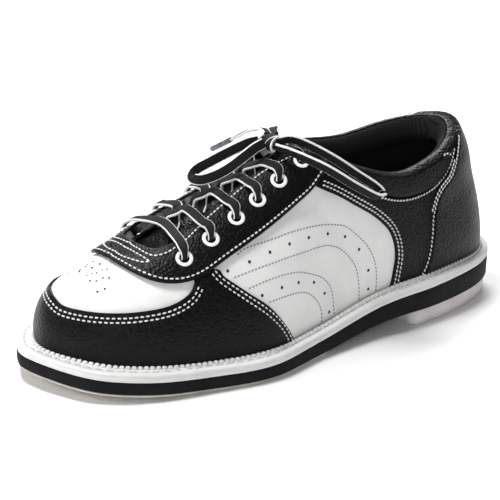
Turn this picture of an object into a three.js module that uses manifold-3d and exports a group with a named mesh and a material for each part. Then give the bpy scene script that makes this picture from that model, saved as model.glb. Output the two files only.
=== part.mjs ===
// A left bowling shoe, EU 42 to 43: a leather lace-up with a perforated toe plug, a toe guard, an
// eyestay with six pairs of eyelets, white quarters, a black rear quarter with a padded collar, and
// a built-up sole with a slide piece under the ball of the foot and a separate heel.
//
// Millimetres. +X is the toe, +Y the outer (lateral) side, +Z up. The origin is at the middle of
// the bottom, on the surface that the shoe stands on.
import * as THREE from "three";
import { mergeVertices } from "three/addons/utils/BufferGeometryUtils.js";
import Module from "manifold-3d";

// ---------------------------------------------------------------- driving dimensions
const GAP = 0.3; // between pieces that touch
const SLIDE_THICK = 1.2; // slide piece under the ball
const HEEL_HEIGHT = 9.0; // height of the black midsole's underside over the heel
const HEEL_BREAST_X = -62; // front face of the heel
const WAIST_X = 20; // the underside starts to rise here, toward the heel
const SLIDE_REAR_X = 0; // rear end of the slide piece
const SHANK_REAR_X = -86;
const SHANK_FRONT_X = 20;
const SHANK_WIDTH = 12;
const BALL_X = 55; // toe spring starts here
const TOE_SPRING = 6.5;
const MIDSOLE_TOE = 6.5; // black midsole's thickness at the toe and at the heel
const MIDSOLE_HEEL = 12.0;
const WELT_THICK = 4.5;
const WELT_WIDTH = 20;
const INSOLE_THICK = 2.0;
const SOCK_THICK = 2.5;
const EYELET_OUTER = 4.35; // radii
const EYELET_HOLE = 2.5;
const EYELET_BARREL = 2.9;
const EYELET_COUNT = 6;
const LACE_WIDTH = 5.6;
const LACE_THICK = 1.6;
const TONGUE_FACE = 1.2;
const TONGUE_PAD = 4.0;
const TONGUE_LINING = 0.8;

// Distance of each layer's inner and outer face from the upper's surface, outward.
const LAYER = {
  lining: [-4.9, -4.0],
  stiffener: [-3.2, -2.6],
  base: [-1.9, -0.9], // toe plug and white quarters
  overlay: [-0.4, 0.5], // toe guard and rear quarters
  top: [1.0, 1.9], // eyestay and backstay
};

// Edge of the sole, seen from above, from the heel round the outer side: [x, y].
const SOLE_EDGE = [
  [-150, -1], [-143, 16], [-128, 28], [-105, 36.5], [-70, 42.5], [-30, 42], [10, 46.7], [45, 54],
  [80, 48.5], [112, 40.5], [136, 24.5], [149.4, -6.5], [147, -24], [132, -43], [108, -52], [75, -54],
  [40, -49], [0, -38], [-35, -31], [-70, -32], [-105, -36], [-128, -33], [-143, -21],
];
const TOE_TIP = 11; // the point of SOLE_EDGE at the toe

// The upper's surface, as upright ribs from the heel to the toe on each side. A rib leaves the welt
// at `foot` [x, y] and ends at `top` [x, y, z]: on the collar's edge, then on the instep's ridge. A
// larger `box` makes a squarer rib, and `belly` is how far it bulges.
const rib = (foot, top, box, belly) => ({ foot, top, box, belly });
const HEEL_RIB = rib([-141.5, -1], [-118, -2, 99.5], 1.25, 3);
const TOE_RIB = rib([141, -7], [115, -8, 53.5], 2.35, 2);
const OUTER_RIBS = [
  HEEL_RIB,
  rib([-136.5, 13], [-115, 8, 97.5], 1.25, 3),
  rib([-122, 24], [-105, 17.5, 92.5], 1.2, 3),
  rib([-101, 30], [-86, 24.5, 86.5], 1.15, 3),
  rib([-70, 34.5], [-59, 27.5, 82.8], 1.2, 2),
  rib([-32, 35], [-32, 26, 90], 1.35, 1),
  rib([8, 40], [-4, 12, 101.5], 1.6, 1),
  rib([42, 46], [32, 1, 90], 1.8, 1.5),
  rib([76, 41.5], [66, -2, 76], 2.0, 2),
  rib([105, 33.5], [91, -4, 64.3], 2.2, 2),
  rib([127, 20], [107, -6, 57.3], 2.3, 2),
  TOE_RIB,
];
const INNER_RIBS = [
  HEEL_RIB,
  rib([-136.5, -15], [-115, -12, 99], 1.2, 3),
  rib([-122, -26], [-106, -20, 97.6], 1.15, 3),
  rib([-101, -30.5], [-88, -25.5, 95], 1.15, 3),
  rib([-70, -27], [-60, -28, 91], 1.2, 2),
  rib([-32, -25], [-32, -25, 94], 1.35, 1),
  rib([8, -32], [-4, -11, 101.5], 1.6, 1),
  rib([40, -42], [32, 1, 90], 1.8, 1),
  rib([76, -47.5], [66, -2, 76], 1.8, 1.5),
  rib([106, -45.5], [91, -4, 64.3], 1.8, 1.5),
  rib([130.5, -32.5], [107, -6, 57.3], 2.0, 2),
  TOE_RIB,
];

// ---------------------------------------------------------------- small maths
const lerp = (a, b, t) => a + (b - a) * t;
const clamp01 = (t) => Math.min(Math.max(t, 0), 1);
const range = (n) => Array.from({ length: n }, (_, i) => i);
const mixPoints = (a, b, t) => a.map((value, k) => lerp(value, b[k], t));

function smoothstep(from, to, x) {
  const t = clamp01((x - from) / (to - from));
  return t * t * (3 - 2 * t);
}

// A Catmull-Rom blend of four equal-length lists of numbers.
function blend4(p0, p1, p2, p3, t) {
  return p1.map(
    (_, k) =>
      0.5 *
      (2 * p1[k] +
        (p2[k] - p0[k]) * t +
        (2 * p0[k] - 5 * p1[k] + 4 * p2[k] - p3[k]) * t * t +
        (3 * p1[k] - p0[k] - 3 * p2[k] + p3[k]) * t * t * t),
  );
}

// The point at t, from 0 to 1, on a smooth open curve through a list of points.
function along(points, t) {
  const spans = points.length - 1;
  const i = Math.min(Math.floor(clamp01(t) * spans), spans - 1);
  const before = points[i - 1] ?? mixPoints(points[0], points[1], -1);
  const after = points[i + 2] ?? mixPoints(points[spans], points[spans - 1], -1);
  return blend4(before, points[i], points[i + 1], after, clamp01(t) * spans - i);
}

// ---------------------------------------------------------------- heights of the bottom unit
function midsoleBottom(x) {
  const spring = TOE_SPRING * clamp01((x - BALL_X) / (150 - BALL_X)) ** 2;
  const ground = SLIDE_THICK + GAP;
  return ground + spring + (HEEL_HEIGHT - ground) * smoothstep(WAIST_X, HEEL_BREAST_X, x);
}

const midsoleTop = (x) => midsoleBottom(x) + lerp(MIDSOLE_TOE, MIDSOLE_HEEL, smoothstep(60, -110, x));
const weltTop = (x) => midsoleTop(x) + WELT_THICK;

// ---------------------------------------------------------------- the upper's surface
function ribAt(ribs, others, station) {
  const flat = (r) => [...r.foot, ...r.top, r.box, r.belly];
  const spans = ribs.length - 1;
  const i = Math.min(Math.floor(clamp01(station) * spans), spans - 1);
  const before = ribs[i - 1] ?? others[1];
  const after = ribs[i + 2] ?? others[spans - 1];
  const knots = [before, ribs[i], ribs[i + 1], after].map(flat);
  return blend4(...knots, clamp01(station) * spans - i);
}

// A spot on the upper. u runs from the heel (0) along the outer side to the toe (1); the inner side
// is u below 0, or above 1 going back from the toe. v runs from the welt (0) to the rib's top (1),
// and above 1 it goes on down the other side.
function onUpper(u, v) {
  const station = u < 0 ? -u : u > 1 ? 2 - u : u;
  const innerSide = u < 0 || u > 1;
  const ribs = innerSide !== v > 1 ? [INNER_RIBS, OUTER_RIBS] : [OUTER_RIBS, INNER_RIBS];
  const [footX, footY, topX, topY, topZ, box, belly] = ribAt(...ribs, station);
  const angle = (Math.PI / 2) * clamp01(v > 1 ? 2 - v : v);
  const inward = 1 - Math.max(Math.cos(angle), 0) ** (2 / box);
  const rise = Math.sin(angle) ** (2 / box);
  const span = Math.hypot(footX - topX, footY - topY);
  const bulge = (belly / span) * Math.sin(Math.PI * rise) * Math.exp(-1.5 * rise);
  return [
    lerp(footX, topX, inward - bulge),
    lerp(footY, topY, inward - bulge),
    lerp(weltTop(footX) + GAP, topZ, rise),
  ];
}

// Away from the foot: used to tell a shell's outer face from its inner one.
const outward = (p) => [p[0] - Math.min(Math.max(p[0], -90), 95), p[1], p[2] - 30];

// ---------------------------------------------------------------- closed meshes
function geometryOf(points, triangles) {
  const geometry = new THREE.BufferGeometry();
  geometry.setAttribute("position", new THREE.Float32BufferAttribute(points.flat(), 3));
  geometry.setIndex(triangles.flat());
  return geometry;
}

function facingOut(points, triangles) {
  let volume = 0;
  for (const [a, b, c] of triangles) {
    const [p, q, r] = [points[a], points[b], points[c]].map((v) => new THREE.Vector3(...v));
    volume += p.dot(q.cross(r));
  }
  return volume > 0 ? triangles : triangles.map(([a, b, c]) => [a, c, b]);
}

// Points that coincide become one, and triangles that collapse go.
function weld(points, triangles) {
  const found = new Map();
  const kept = [];
  const target = points.map((p) => {
    const key = p.map((value) => Math.round(value * 500)).join();
    if (!found.has(key)) {
      found.set(key, kept.length);
      kept.push(p);
    }
    return found.get(key);
  });
  const mapped = triangles.map((t) => t.map((i) => target[i]));
  return [kept, mapped.filter(([a, b, c]) => a !== b && b !== c && c !== a)];
}

const gridTriangles = (rows, columns) =>
  range(rows - 1).flatMap((i) =>
    range(columns - 1).flatMap((j) => {
      const a = i * columns + j;
      return [[a, a + columns, a + 1], [a + 1, a + columns, a + columns + 1]];
    }),
  );

function vertexNormals(points, triangles) {
  const normals = points.map(() => new THREE.Vector3());
  for (const t of triangles) {
    const [p, q, r] = t.map((i) => new THREE.Vector3(...points[i]));
    const face = q.clone().sub(p).cross(r.clone().sub(p));
    t.forEach((i) => normals[i].add(face));
  }
  let sum = 0;
  normals.forEach((n, i) => {
    sum += n.dot(new THREE.Vector3(...outward(points[i])));
    n.normalize();
  });
  return sum > 0 ? normals : normals.map((n) => n.negate());
}

// A shell of even thickness on a grid of spots: rows x columns points given by at(i, j), both from
// 0 to 1, with its faces `inner` and `outer` away from that surface.
function shell(rows, columns, at, [inner, outer]) {
  const spots = range(rows).flatMap((i) => range(columns).map((j) => at(i / (rows - 1), j / (columns - 1))));
  const [points, triangles] = weld(spots, gridTriangles(rows, columns));
  const normals = vertexNormals(points, triangles);
  const offset = (distance) =>
    points.map((p, i) => [p[0] + normals[i].x * distance, p[1] + normals[i].y * distance, p[2] + normals[i].z * distance]);
  const edges = new Set(triangles.flatMap(([a, b, c]) => [`${a},${b}`, `${b},${c}`, `${c},${a}`]));
  const rim = [...edges].map((e) => e.split(",").map(Number)).filter(([a, b]) => !edges.has(`${b},${a}`));
  const n = points.length;
  const all = [
    ...triangles,
    ...triangles.map(([a, b, c]) => [a + n, c + n, b + n]),
    ...rim.flatMap(([a, b]) => [[a, a + n, b], [b, a + n, b + n]]),
  ];
  const both = [...offset(outer), ...offset(inner)];
  return geometryOf(both, facingOut(both, all));
}

// A shell between two curves on the upper, `low` and `high`, each a list of [u, v] spots.
function panel(low, high, layer, columns, rows = 5) {
  const spot = (across, t) => mixPoints(along(low, t), along(high, t), across);
  return shell(rows, columns, (i, j) => onUpper(...spot(i, j)), layer);
}

// ---------------------------------------------------------------- outlines and slabs
const RING_STEPS = 60;

function edgePoint(t) {
  const n = SOLE_EDGE.length;
  const k = t < 0.5 ? t * 2 * TOE_TIP : TOE_TIP + (t - 0.5) * 2 * (n - TOE_TIP);
  const i = Math.floor(k) % n;
  const knots = [-1, 0, 1, 2].map((d) => SOLE_EDGE[(i + d + n) % n]);
  return blend4(...knots, k - Math.floor(k));
}

// A closed ring, clockwise from above, moved inward by a distance.
function inset(ring, distance) {
  const n = ring.length;
  return ring.map(([x, y], k) => {
    const [x0, y0] = ring[(k + n - 1) % n];
    const [x1, y1] = ring[(k + 1) % n];
    const length = Math.hypot(x1 - x0, y1 - y0);
    return [x + ((y1 - y0) / length) * distance, y - ((x1 - x0) / length) * distance];
  });
}

// Rings start at the heel and go round the outer side first.
const SOLE_RING = range(RING_STEPS).map((k) => edgePoint(k / RING_STEPS));
const FOOT_RING = range(RING_STEPS).map((k) => onUpper((2 * k) / RING_STEPS, 0).slice(0, 2));

const stack = (ring, height) => ring.map(([x, y]) => [x, y, height(x)]);

// Where a ring's outer and inner side cross x, both read from a list of points going toward +X.
function crossing(side, x) {
  const i = Math.min(Math.max(side.findIndex((p) => p[0] >= x), 1), side.length - 1);
  const [a, b] = [side[i - 1], side[i]];
  return [x, lerp(a[1], b[1], clamp01((x - a[0]) / (b[0] - a[0])))];
}

// The part of a ring between two x, as pairs of points facing each other across it.
function facingPairs(ring, from = -Infinity, to = Infinity, count = 26) {
  const half = ring.length / 2;
  const outerSide = ring.slice(0, half + 1);
  const innerSide = [ring[0], ...ring.slice(half).reverse()];
  const low = Math.max(from, ring[0][0]);
  const high = Math.min(to, ring[half][0]);
  return range(count).map((i) => {
    const x = lerp(low, high, (1 - Math.cos((Math.PI * i) / (count - 1))) / 2);
    return [crossing(outerSide, x), crossing(innerSide, x)];
  });
}

// A solid between two heights, on facing pairs of points.
function slab(pairs, bottom, top) {
  const ring = [...pairs.map((p) => p[0]), ...pairs.map((p) => p[1]).reverse()];
  const n = ring.length;
  const points = [...stack(ring, bottom), ...stack(ring, top)];
  const triangles = [];
  for (const k of range(n)) {
    const next = (k + 1) % n;
    triangles.push([k, next, n + next], [k, n + next, n + k]);
  }
  for (const k of range(pairs.length - 1)) {
    const [a, b, c, d] = [k, k + 1, n - 1 - k, n - 2 - k];
    triangles.push([a, c, b], [b, c, d], [n + a, n + b, n + c], [n + b, n + d, n + c]);
  }
  const [kept, solid] = weld(points, triangles);
  return geometryOf(kept, facingOut(kept, solid));
}

// A frame between an outer and an inner ring.
function frame(outerRing, innerRing, bottom, top) {
  const rings = [stack(outerRing, bottom), stack(outerRing, top), stack(innerRing, top), stack(innerRing, bottom)];
  const n = outerRing.length;
  const triangles = [];
  for (const r of range(4)) {
    for (const k of range(n)) {
      const next = (k + 1) % n;
      const s = (r + 1) % 4;
      triangles.push([r * n + k, r * n + next, s * n + next], [r * n + k, s * n + next, s * n + k]);
    }
  }
  const points = rings.flat();
  return geometryOf(points, facingOut(points, triangles));
}

// ---------------------------------------------------------------- strips, such as laces
// A flat strip along a smooth path of points, with its flat face toward each point's `up`.
function strip(path, ups, width, thick, steps, endWidths = [width, width]) {
  const section = range(6).map((k) => (k / 6) * 2 * Math.PI);
  const points = [];
  for (const i of range(steps + 1)) {
    const t = i / steps;
    const place = new THREE.Vector3(...along(path, t));
    const ahead = new THREE.Vector3(...along(path, Math.min(t + 0.01, 1)));
    const behind = new THREE.Vector3(...along(path, Math.max(t - 0.01, 0)));
    const forward = ahead.sub(behind).normalize();
    const up = new THREE.Vector3(...along(ups, t));
    const side = new THREE.Vector3().crossVectors(forward, up).normalize();
    const normal = new THREE.Vector3().crossVectors(side, forward);
    const fromEnd = Math.min(i, steps - i);
    const end = i < steps / 2 ? endWidths[0] : endWidths[1];
    const wide = fromEnd < 2 ? end : fromEnd === 2 ? (end + width) / 2 : width;
    for (const angle of section) {
      const point = place.clone();
      point.addScaledVector(side, (Math.sign(Math.cos(angle)) * Math.abs(Math.cos(angle)) ** 0.6 * wide) / 2);
      point.addScaledVector(normal, (Math.sign(Math.sin(angle)) * Math.abs(Math.sin(angle)) ** 0.6 * thick) / 2);
      points.push(point.toArray());
    }
  }
  const n = section.length;
  const triangles = [];
  for (const i of range(steps)) {
    for (const k of range(n)) {
      const [a, b] = [i * n + k, i * n + ((k + 1) % n)];
      triangles.push([a, b, b + n], [a, b + n, a + n]);
    }
  }
  for (const k of range(n - 2)) {
    triangles.push([0, k + 2, k + 1], [steps * n, steps * n + k + 1, steps * n + k + 2]);
  }
  return geometryOf(points, facingOut(points, triangles));
}

// ---------------------------------------------------------------- booleans
const wasm = await Module();
wasm.setup();

function toSolid(geometry) {
  const bare = geometry.clone();
  bare.deleteAttribute("normal");
  bare.deleteAttribute("uv");
  const merged = mergeVertices(bare, 1e-4);
  const vertProperties = new Float32Array(merged.attributes.position.array);
  return new wasm.Manifold(new wasm.Mesh({ numProp: 3, vertProperties, triVerts: new Uint32Array(merged.index.array) }));
}

function fromSolid(solid) {
  const mesh = solid.getMesh();
  const geometry = new THREE.BufferGeometry();
  geometry.setAttribute("position", new THREE.Float32BufferAttribute(mesh.vertProperties, 3));
  geometry.setIndex([...mesh.triVerts]);
  return geometry;
}

const cut = (geometry, tools) => fromSolid(tools.reduce((solid, tool) => solid.subtract(toSolid(tool)), toSolid(geometry)));

// ---------------------------------------------------------------- materials and the group
const shoe = new THREE.Group();
const finish = (color, roughness) => new THREE.MeshStandardMaterial({ color, roughness, metalness: 0 });
const MATERIAL = {
  blackLeather: () => finish(0x151517, 0.42),
  whiteLeather: () => finish(0xe8e8e6, 0.45),
  whiteWelt: () => finish(0xdcdcda, 0.55),
  blackSole: () => finish(0x18181a, 0.75),
  heelRubber: () => finish(0xe4dedd, 0.7),
  slideLeather: () => finish(0xcfc9c0, 0.8),
  textile: () => finish(0x1b1b1d, 0.95),
  foam: () => finish(0x3a3a3c, 0.95),
  board: () => finish(0xa98f6c, 0.85),
  steel: () => finish(0x8c8f92, 0.35),
  cork: () => finish(0x9c7a50, 0.9),
  eyelet: () => finish(0xf0f0ee, 0.35),
  lace: () => finish(0x161618, 0.85),
  aglet: () => finish(0x3c444c, 0.3),
};

function add(name, geometry, material) {
  const mesh = new THREE.Mesh(geometry, MATERIAL[material]());
  mesh.name = name;
  shoe.add(mesh);
}

// ---------------------------------------------------------------- bottom unit
function addBottomUnit() {
  const heelPairs = facingPairs(inset(SOLE_RING, 1.2), -150, HEEL_BREAST_X);
  add("heel_block", slab(heelPairs, () => 0, (x) => Math.min(midsoleBottom(x), HEEL_HEIGHT) - GAP), "heelRubber");
  const slidePairs = facingPairs(inset(SOLE_RING, 0.8), SLIDE_REAR_X, 150);
  const slideTop = (x) => midsoleBottom(x) - GAP;
  add("slide_sole", slab(slidePairs, (x) => slideTop(x) - SLIDE_THICK, slideTop), "slideLeather");
  add("midsole", slab(facingPairs(SOLE_RING), midsoleBottom, (x) => midsoleTop(x) - GAP), "blackSole");
  add("welt", frame(SOLE_RING, inset(SOLE_RING, WELT_WIDTH), midsoleTop, weltTop), "whiteWelt");
}

// The hollow inside the welt holds two cork fillers, with the steel shank between them.
function addFilling() {
  const hollow = inset(SOLE_RING, WELT_WIDTH + 3);
  const top = (x) => weltTop(x) - GAP;
  add("forefoot_filler", slab(facingPairs(hollow, SHANK_FRONT_X + 2), midsoleTop, top), "cork");
  add("heel_filler", slab(facingPairs(hollow, -150, SHANK_REAR_X - 2), midsoleTop, top), "cork");
  const shankPairs = range(12).map((i) => {
    const x = lerp(SHANK_REAR_X, SHANK_FRONT_X, i / 11);
    return [[x, SHANK_WIDTH / 2], [x, -SHANK_WIDTH / 2]];
  });
  add("shank", slab(shankPairs, (x) => midsoleTop(x) + 1, (x) => midsoleTop(x) + 2.4), "steel");
}

function addFootbed() {
  const boardRing = inset(FOOT_RING, 5.6);
  const boardBottom = (x) => weltTop(x) + GAP;
  const sockBottom = (x) => boardBottom(x) + INSOLE_THICK + GAP;
  add("insole_board", slab(facingPairs(boardRing), boardBottom, (x) => boardBottom(x) + INSOLE_THICK), "board");
  const sockPairs = facingPairs(inset(boardRing, 0.8));
  add("sock_liner", slab(sockPairs, sockBottom, (x) => sockBottom(x) + SOCK_THICK), "textile");
}

// ---------------------------------------------------------------- upper: outlines as [u, v] spots
const overRidge = (half) => [...half, ...half.slice(0, -1).reverse().map(([u, v]) => [u, 2 - v])];
const roundToe = (half) => [...half, ...half.slice(0, -1).reverse().map(([u, v]) => [2 - u, v])];
const otherSide = (curve) => curve.map(([u, v]) => [-u, v]);

const EYESTAY_OUTER = [
  [0.52, 0.76], [0.545, 0.64], [0.58, 0.58], [0.63, 0.542], [0.685, 0.502], [0.731, 0.462],
  [0.765, 0.468], [0.799, 0.524], [0.828, 0.62], [0.855, 0.75], [0.885, 0.93], [0.893, 1],
];
const EYESTAY_INNER = [
  [0.54, 0.95], [0.57, 0.935], [0.6, 0.905], [0.64, 0.868], [0.68, 0.825], [0.715, 0.785],
  [0.745, 0.755], [0.77, 0.755], [0.786, 0.775], [0.8, 0.83], [0.812, 0.93], [0.815, 1],
];
const PLUG_EDGE = [
  [0.745, 0.5], [0.744, 0.44], [0.758, 0.385], [0.79, 0.355], [0.84, 0.36], [0.89, 0.38],
  [0.935, 0.4], [0.972, 0.43], [1, 0.49],
];
const PLUG_EDGE_INNER = [
  [0.745, 0.5], [0.744, 0.44], [0.758, 0.41], [0.79, 0.41], [0.84, 0.43], [0.89, 0.46], [0.935, 0.49],
  [0.97, 0.51], [1, 0.49],
];
const GUARD_FOOT = [
  [0.587, 0], [0.65, 0], [0.71, 0], [0.77, 0], [0.83, 0], [0.88, 0], [0.92, 0], [0.96, 0], [1, 0],
];
const QUARTER_FOOT = [[0.385, 0], [0.44, 0], [0.5, 0], [0.56, 0], [0.62, 0]];
const QUARTER_TOP = [[0.43, 0.58], [0.5, 0.66], [0.57, 0.62], [0.65, 0.56], [0.72, 0.5]];
const REAR_FRONT = [
  [0.27, 0], [0.34, 0], [0.413, 0], [0.404, 0.29], [0.417, 0.474], [0.445, 0.554], [0.49, 0.612], [0.535, 0.648],
];
const REAR_TOP = [
  [0.19, 0.65], [0.24, 0.655], [0.29, 0.65], [0.34, 0.645], [0.4, 0.65], [0.44, 0.67], [0.485, 0.72], [0.53, 0.76],
];

const EYELET_SPOTS = [[0.752, 0.6], [0.706, 0.636], [0.664, 0.675], [0.628, 0.71], [0.593, 0.752], [0.557, 0.828]];

function normalAt(u, v) {
  const step = 0.004;
  const corners = [[u - step, v], [u + step, v], [u, v - step], [u, v + step]].map((s) => new THREE.Vector3(...onUpper(...s)));
  const normal = corners[1].sub(corners[0]).cross(corners[3].sub(corners[2])).normalize();
  const away = new THREE.Vector3(...outward(onUpper(u, v)));
  return normal.dot(away) > 0 ? normal : normal.negate();
}

// A turned piece on the upper at a spot, with its profile [radius, height] along the normal.
function turned(spot, profile, segments) {
  const geometry = new THREE.LatheGeometry(profile.map(([r, h]) => new THREE.Vector2(r, h)), segments);
  const turn = new THREE.Quaternion().setFromUnitVectors(new THREE.Vector3(0, 1, 0), normalAt(...spot));
  geometry.applyQuaternion(turn);
  return geometry.translate(...onUpper(...spot));
}

const sides = (spot) => [["outer", spot], ["inner", [spot[0], 2 - spot[1]]]];

function eyeletHoles() {
  const profile = [[0, -9], [EYELET_BARREL + 2 * GAP, -9], [EYELET_BARREL + 2 * GAP, 5], [0, 5]];
  return EYELET_SPOTS.flatMap((spot) => sides(spot).map(([, s]) => turned(s, profile, 8)));
}

function addEyelets() {
  const flange = LAYER.top[1] + GAP;
  const profile = [
    [EYELET_HOLE, LAYER.lining[0] - 0.4], [EYELET_BARREL, LAYER.lining[0] - 0.4], [EYELET_BARREL, flange],
    [EYELET_OUTER, flange], [EYELET_OUTER - 0.4, flange + 0.7], [EYELET_HOLE, flange + 0.7],
    [EYELET_HOLE, LAYER.lining[0] - 0.4],
  ];
  EYELET_SPOTS.forEach((spot, i) => {
    for (const [side, s] of sides(spot)) {
      add(`eyelet_${side}_${i + 1}`, turned(s, profile, 10), "eyelet");
    }
  });
}

function addPanels() {
  const holes = eyeletHoles();
  add("eyestay", cut(panel(overRidge(EYESTAY_OUTER), overRidge(EYESTAY_INNER), LAYER.top, 39, 3), holes), "blackLeather");
  const plugRear = (across) => Math.max(0.865 - 0.3 * Math.abs(across) ** 3, 0.725);
  const plug = (i, j) => {
    const across = 2 * j - 1;
    const u = lerp(plugRear(across), 1, i);
    const side = across > 0 ? PLUG_EDGE_INNER : PLUG_EDGE;
    const edge = along(side, clamp01((u - 0.745) / 0.255) * 0.75 + 0.25)[1] - 0.05;
    return onUpper(u, 1 + across * (1 - edge));
  };
  add("toe_plug", shell(8, 13, plug, LAYER.base), "whiteLeather");
  const guardTop = [...PLUG_EDGE, ...PLUG_EDGE_INNER.slice(0, -1).reverse().map(([u, v]) => [2 - u, v])];
  add("toe_guard", panel(roundToe(GUARD_FOOT), guardTop, LAYER.overlay, 33, 6), "blackLeather");
  for (const [side, flip] of [["outer", (c) => c], ["inner", otherSide]]) {
    add(`quarter_${side}`, panel(flip(QUARTER_FOOT), flip(QUARTER_TOP), LAYER.base, 14, 7), "whiteLeather");
    add(`rear_quarter_${side}`, panel(flip(REAR_FRONT), flip(REAR_TOP), LAYER.overlay, 13, 5), "blackLeather");
  }
}

// ---------------------------------------------------------------- linings and stiffeners
function addInnerLayers() {
  const vampFoot = [0.6, 0.68, 0.76, 0.84, 0.92, 1].map((u) => [u, 0.02]);
  const vampTop = [[0.6, 0.905], [0.68, 0.825], [0.745, 0.755], [0.786, 0.785], [0.815, 1], [0.87, 1], [0.935, 1], [1, 1]];
  const vamp = panel(roundToe(vampFoot), roundToe(vampTop), LAYER.lining, 33, 7);
  const holes = eyeletHoles();
  add("vamp_lining", cut(vamp, holes), "textile");
  const half = [[0, 0.6], [0.1, 0.6], [0.2, 0.6], [0.3, 0.58], [0.4, 0.58], [0.47, 0.6], [0.52, 0.64], [0.55, 0.9], [0.594, 0.91]];
  const quarterTop = [...otherSide(half.slice(1)).reverse(), ...half];
  const quarterFoot = quarterTop.map((_, k) => [lerp(-0.594, 0.594, k / (quarterTop.length - 1)), 0.02]);
  add("quarter_lining", cut(panel(quarterFoot, quarterTop, LAYER.lining, 37, 6), holes), "textile");
  const puffTop = [[0.85, 0.4], [0.9, 0.5], [0.95, 0.5], [1, 0.52]];
  const puffFoot = [[0.85, 0.02], [0.9, 0.02], [0.95, 0.02], [1, 0.02]];
  add("toe_puff", panel(roundToe(puffFoot), roundToe(puffTop), LAYER.stiffener, 19, 4), "board");
  const counterTop = [[-0.36, 0.3], [-0.24, 0.56], [-0.1, 0.6], [0.1, 0.6], [0.24, 0.56], [0.36, 0.3]];
  const counterFoot = counterTop.map(([u]) => [u, 0.02]);
  add("heel_counter", panel(counterFoot, counterTop, LAYER.stiffener, 21, 4), "board");
}

// ---------------------------------------------------------------- backstay and padded collar
const COLLAR_FROM = 0.515; // the collar runs from this station on one side to the other's
const COLLAR_STEPS = 30;

function lifted(u, v, distance) {
  const n = normalAt(u, v);
  const p = onUpper(u, v);
  return [p[0] + n.x * distance, p[1] + n.y * distance, p[2] + n.z * distance];
}

function addBackstay() {
  const low = [[-0.345, 0], [-0.17, 0], [0, 0], [0.17, 0], [0.345, 0]];
  const high = [[-0.13, 0.94], [-0.065, 0.95], [0, 0.955], [0.065, 0.95], [0.13, 0.94]];
  const spot = (across, t) => {
    const [u, v] = mixPoints(along(low, t), along(high, t), across);
    const flare = 1 + 0.35 * Math.sin(Math.PI * clamp01(across * 1.2));
    return lifted(u * flare, v, 1.9 * smoothstep(0.5, 0.72, v));
  };
  add("backstay", shell(9, 19, spot, LAYER.top), "blackLeather");
}

// The collar's section at one station: the skin's points from low outside, over the edge, to low
// inside, each moved inward by `depth`.
function collarSection(u, depth) {
  const fade = smoothstep(COLLAR_FROM, COLLAR_FROM - 0.08, Math.abs(u));
  const low = 0.69 + 0.11 * smoothstep(0.4, 0.5, Math.abs(u));
  const outside = [0, 0.3, 0.6, 0.85].map((a, k) => lifted(u, lerp(low, 0.97, a), 0.5 + fade * [0.4, 1.1, 1.3, 1.1][k]));
  const top = onUpper(u, 1);
  const n = normalAt(u, 0.5);
  const away = [n.x / Math.hypot(n.x, n.y), n.y / Math.hypot(n.x, n.y)];
  const place = ([out, up]) => [top[0] + away[0] * out, top[1] + away[1] * out, top[2] + up];
  const inside = [[-1.5, 1.4], [-4.5, 1.2], [-7, -1.2], [-8.2, -5], [-8.4, -9], [-7, -13]].map(place);
  const skin = [...outside, ...inside];
  return skin.map((p, k) => {
    const a = skin[Math.max(k - 1, 0)];
    const b = skin[Math.min(k + 1, skin.length - 1)];
    const run = [(b[0] - a[0]) * away[0] + (b[1] - a[1]) * away[1], b[2] - a[2]];
    const length = Math.hypot(...run);
    const [out, up] = [(-run[1] / length) * depth, (run[0] / length) * depth];
    return [p[0] + away[0] * out, p[1] + away[1] * out, p[2] + up];
  });
}

// A closed body along the collar between two lists of skin points at each station.
function collarBody(from, to, outerDepth, innerDepth) {
  const count = to - from;
  const points = [];
  for (const i of range(COLLAR_STEPS + 1)) {
    const u = lerp(-COLLAR_FROM, COLLAR_FROM, i / COLLAR_STEPS);
    const outer = collarSection(u, outerDepth).slice(from, to);
    const inner = innerDepth === null ? [] : collarSection(u, innerDepth).slice(from, to).reverse();
    points.push(...outer, ...inner);
  }
  const n = innerDepth === null ? count : 2 * count;
  const triangles = [];
  for (const i of range(COLLAR_STEPS)) {
    for (const k of range(n)) {
      const [a, b] = [i * n + k, i * n + ((k + 1) % n)];
      triangles.push([a, b, b + n], [a, b + n, a + n]);
    }
  }
  const last = COLLAR_STEPS * n;
  for (const k of range(innerDepth === null ? n - 2 : count - 1)) {
    const [a, b, c, d] = innerDepth === null ? [0, k + 1, k + 2, null] : [k, k + 1, n - 2 - k, n - 1 - k];
    triangles.push([a, c, b], [last + a, last + b, last + c]);
    if (d !== null) triangles.push([a, d, c], [last + a, last + c, last + d]);
  }
  return geometryOf(points, facingOut(points, triangles));
}

function addCollar() {
  add("collar_cover", collarBody(0, 6, 0, 1), "blackLeather");
  add("collar_lining", collarBody(6, 10, 0, 1), "textile");
  add("collar_foam", collarBody(0, 10, 1.7, null), "foam");
}

// ---------------------------------------------------------------- tongue
const TONGUE_ROOT = 0.84; // stations of its sewn end and of the collar's front
const TONGUE_REAR = 0.575;
const TONGUE_TIP = 15; // length beyond that
const TONGUE_LEVEL = -6.3; // its face, from the upper's surface

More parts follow.
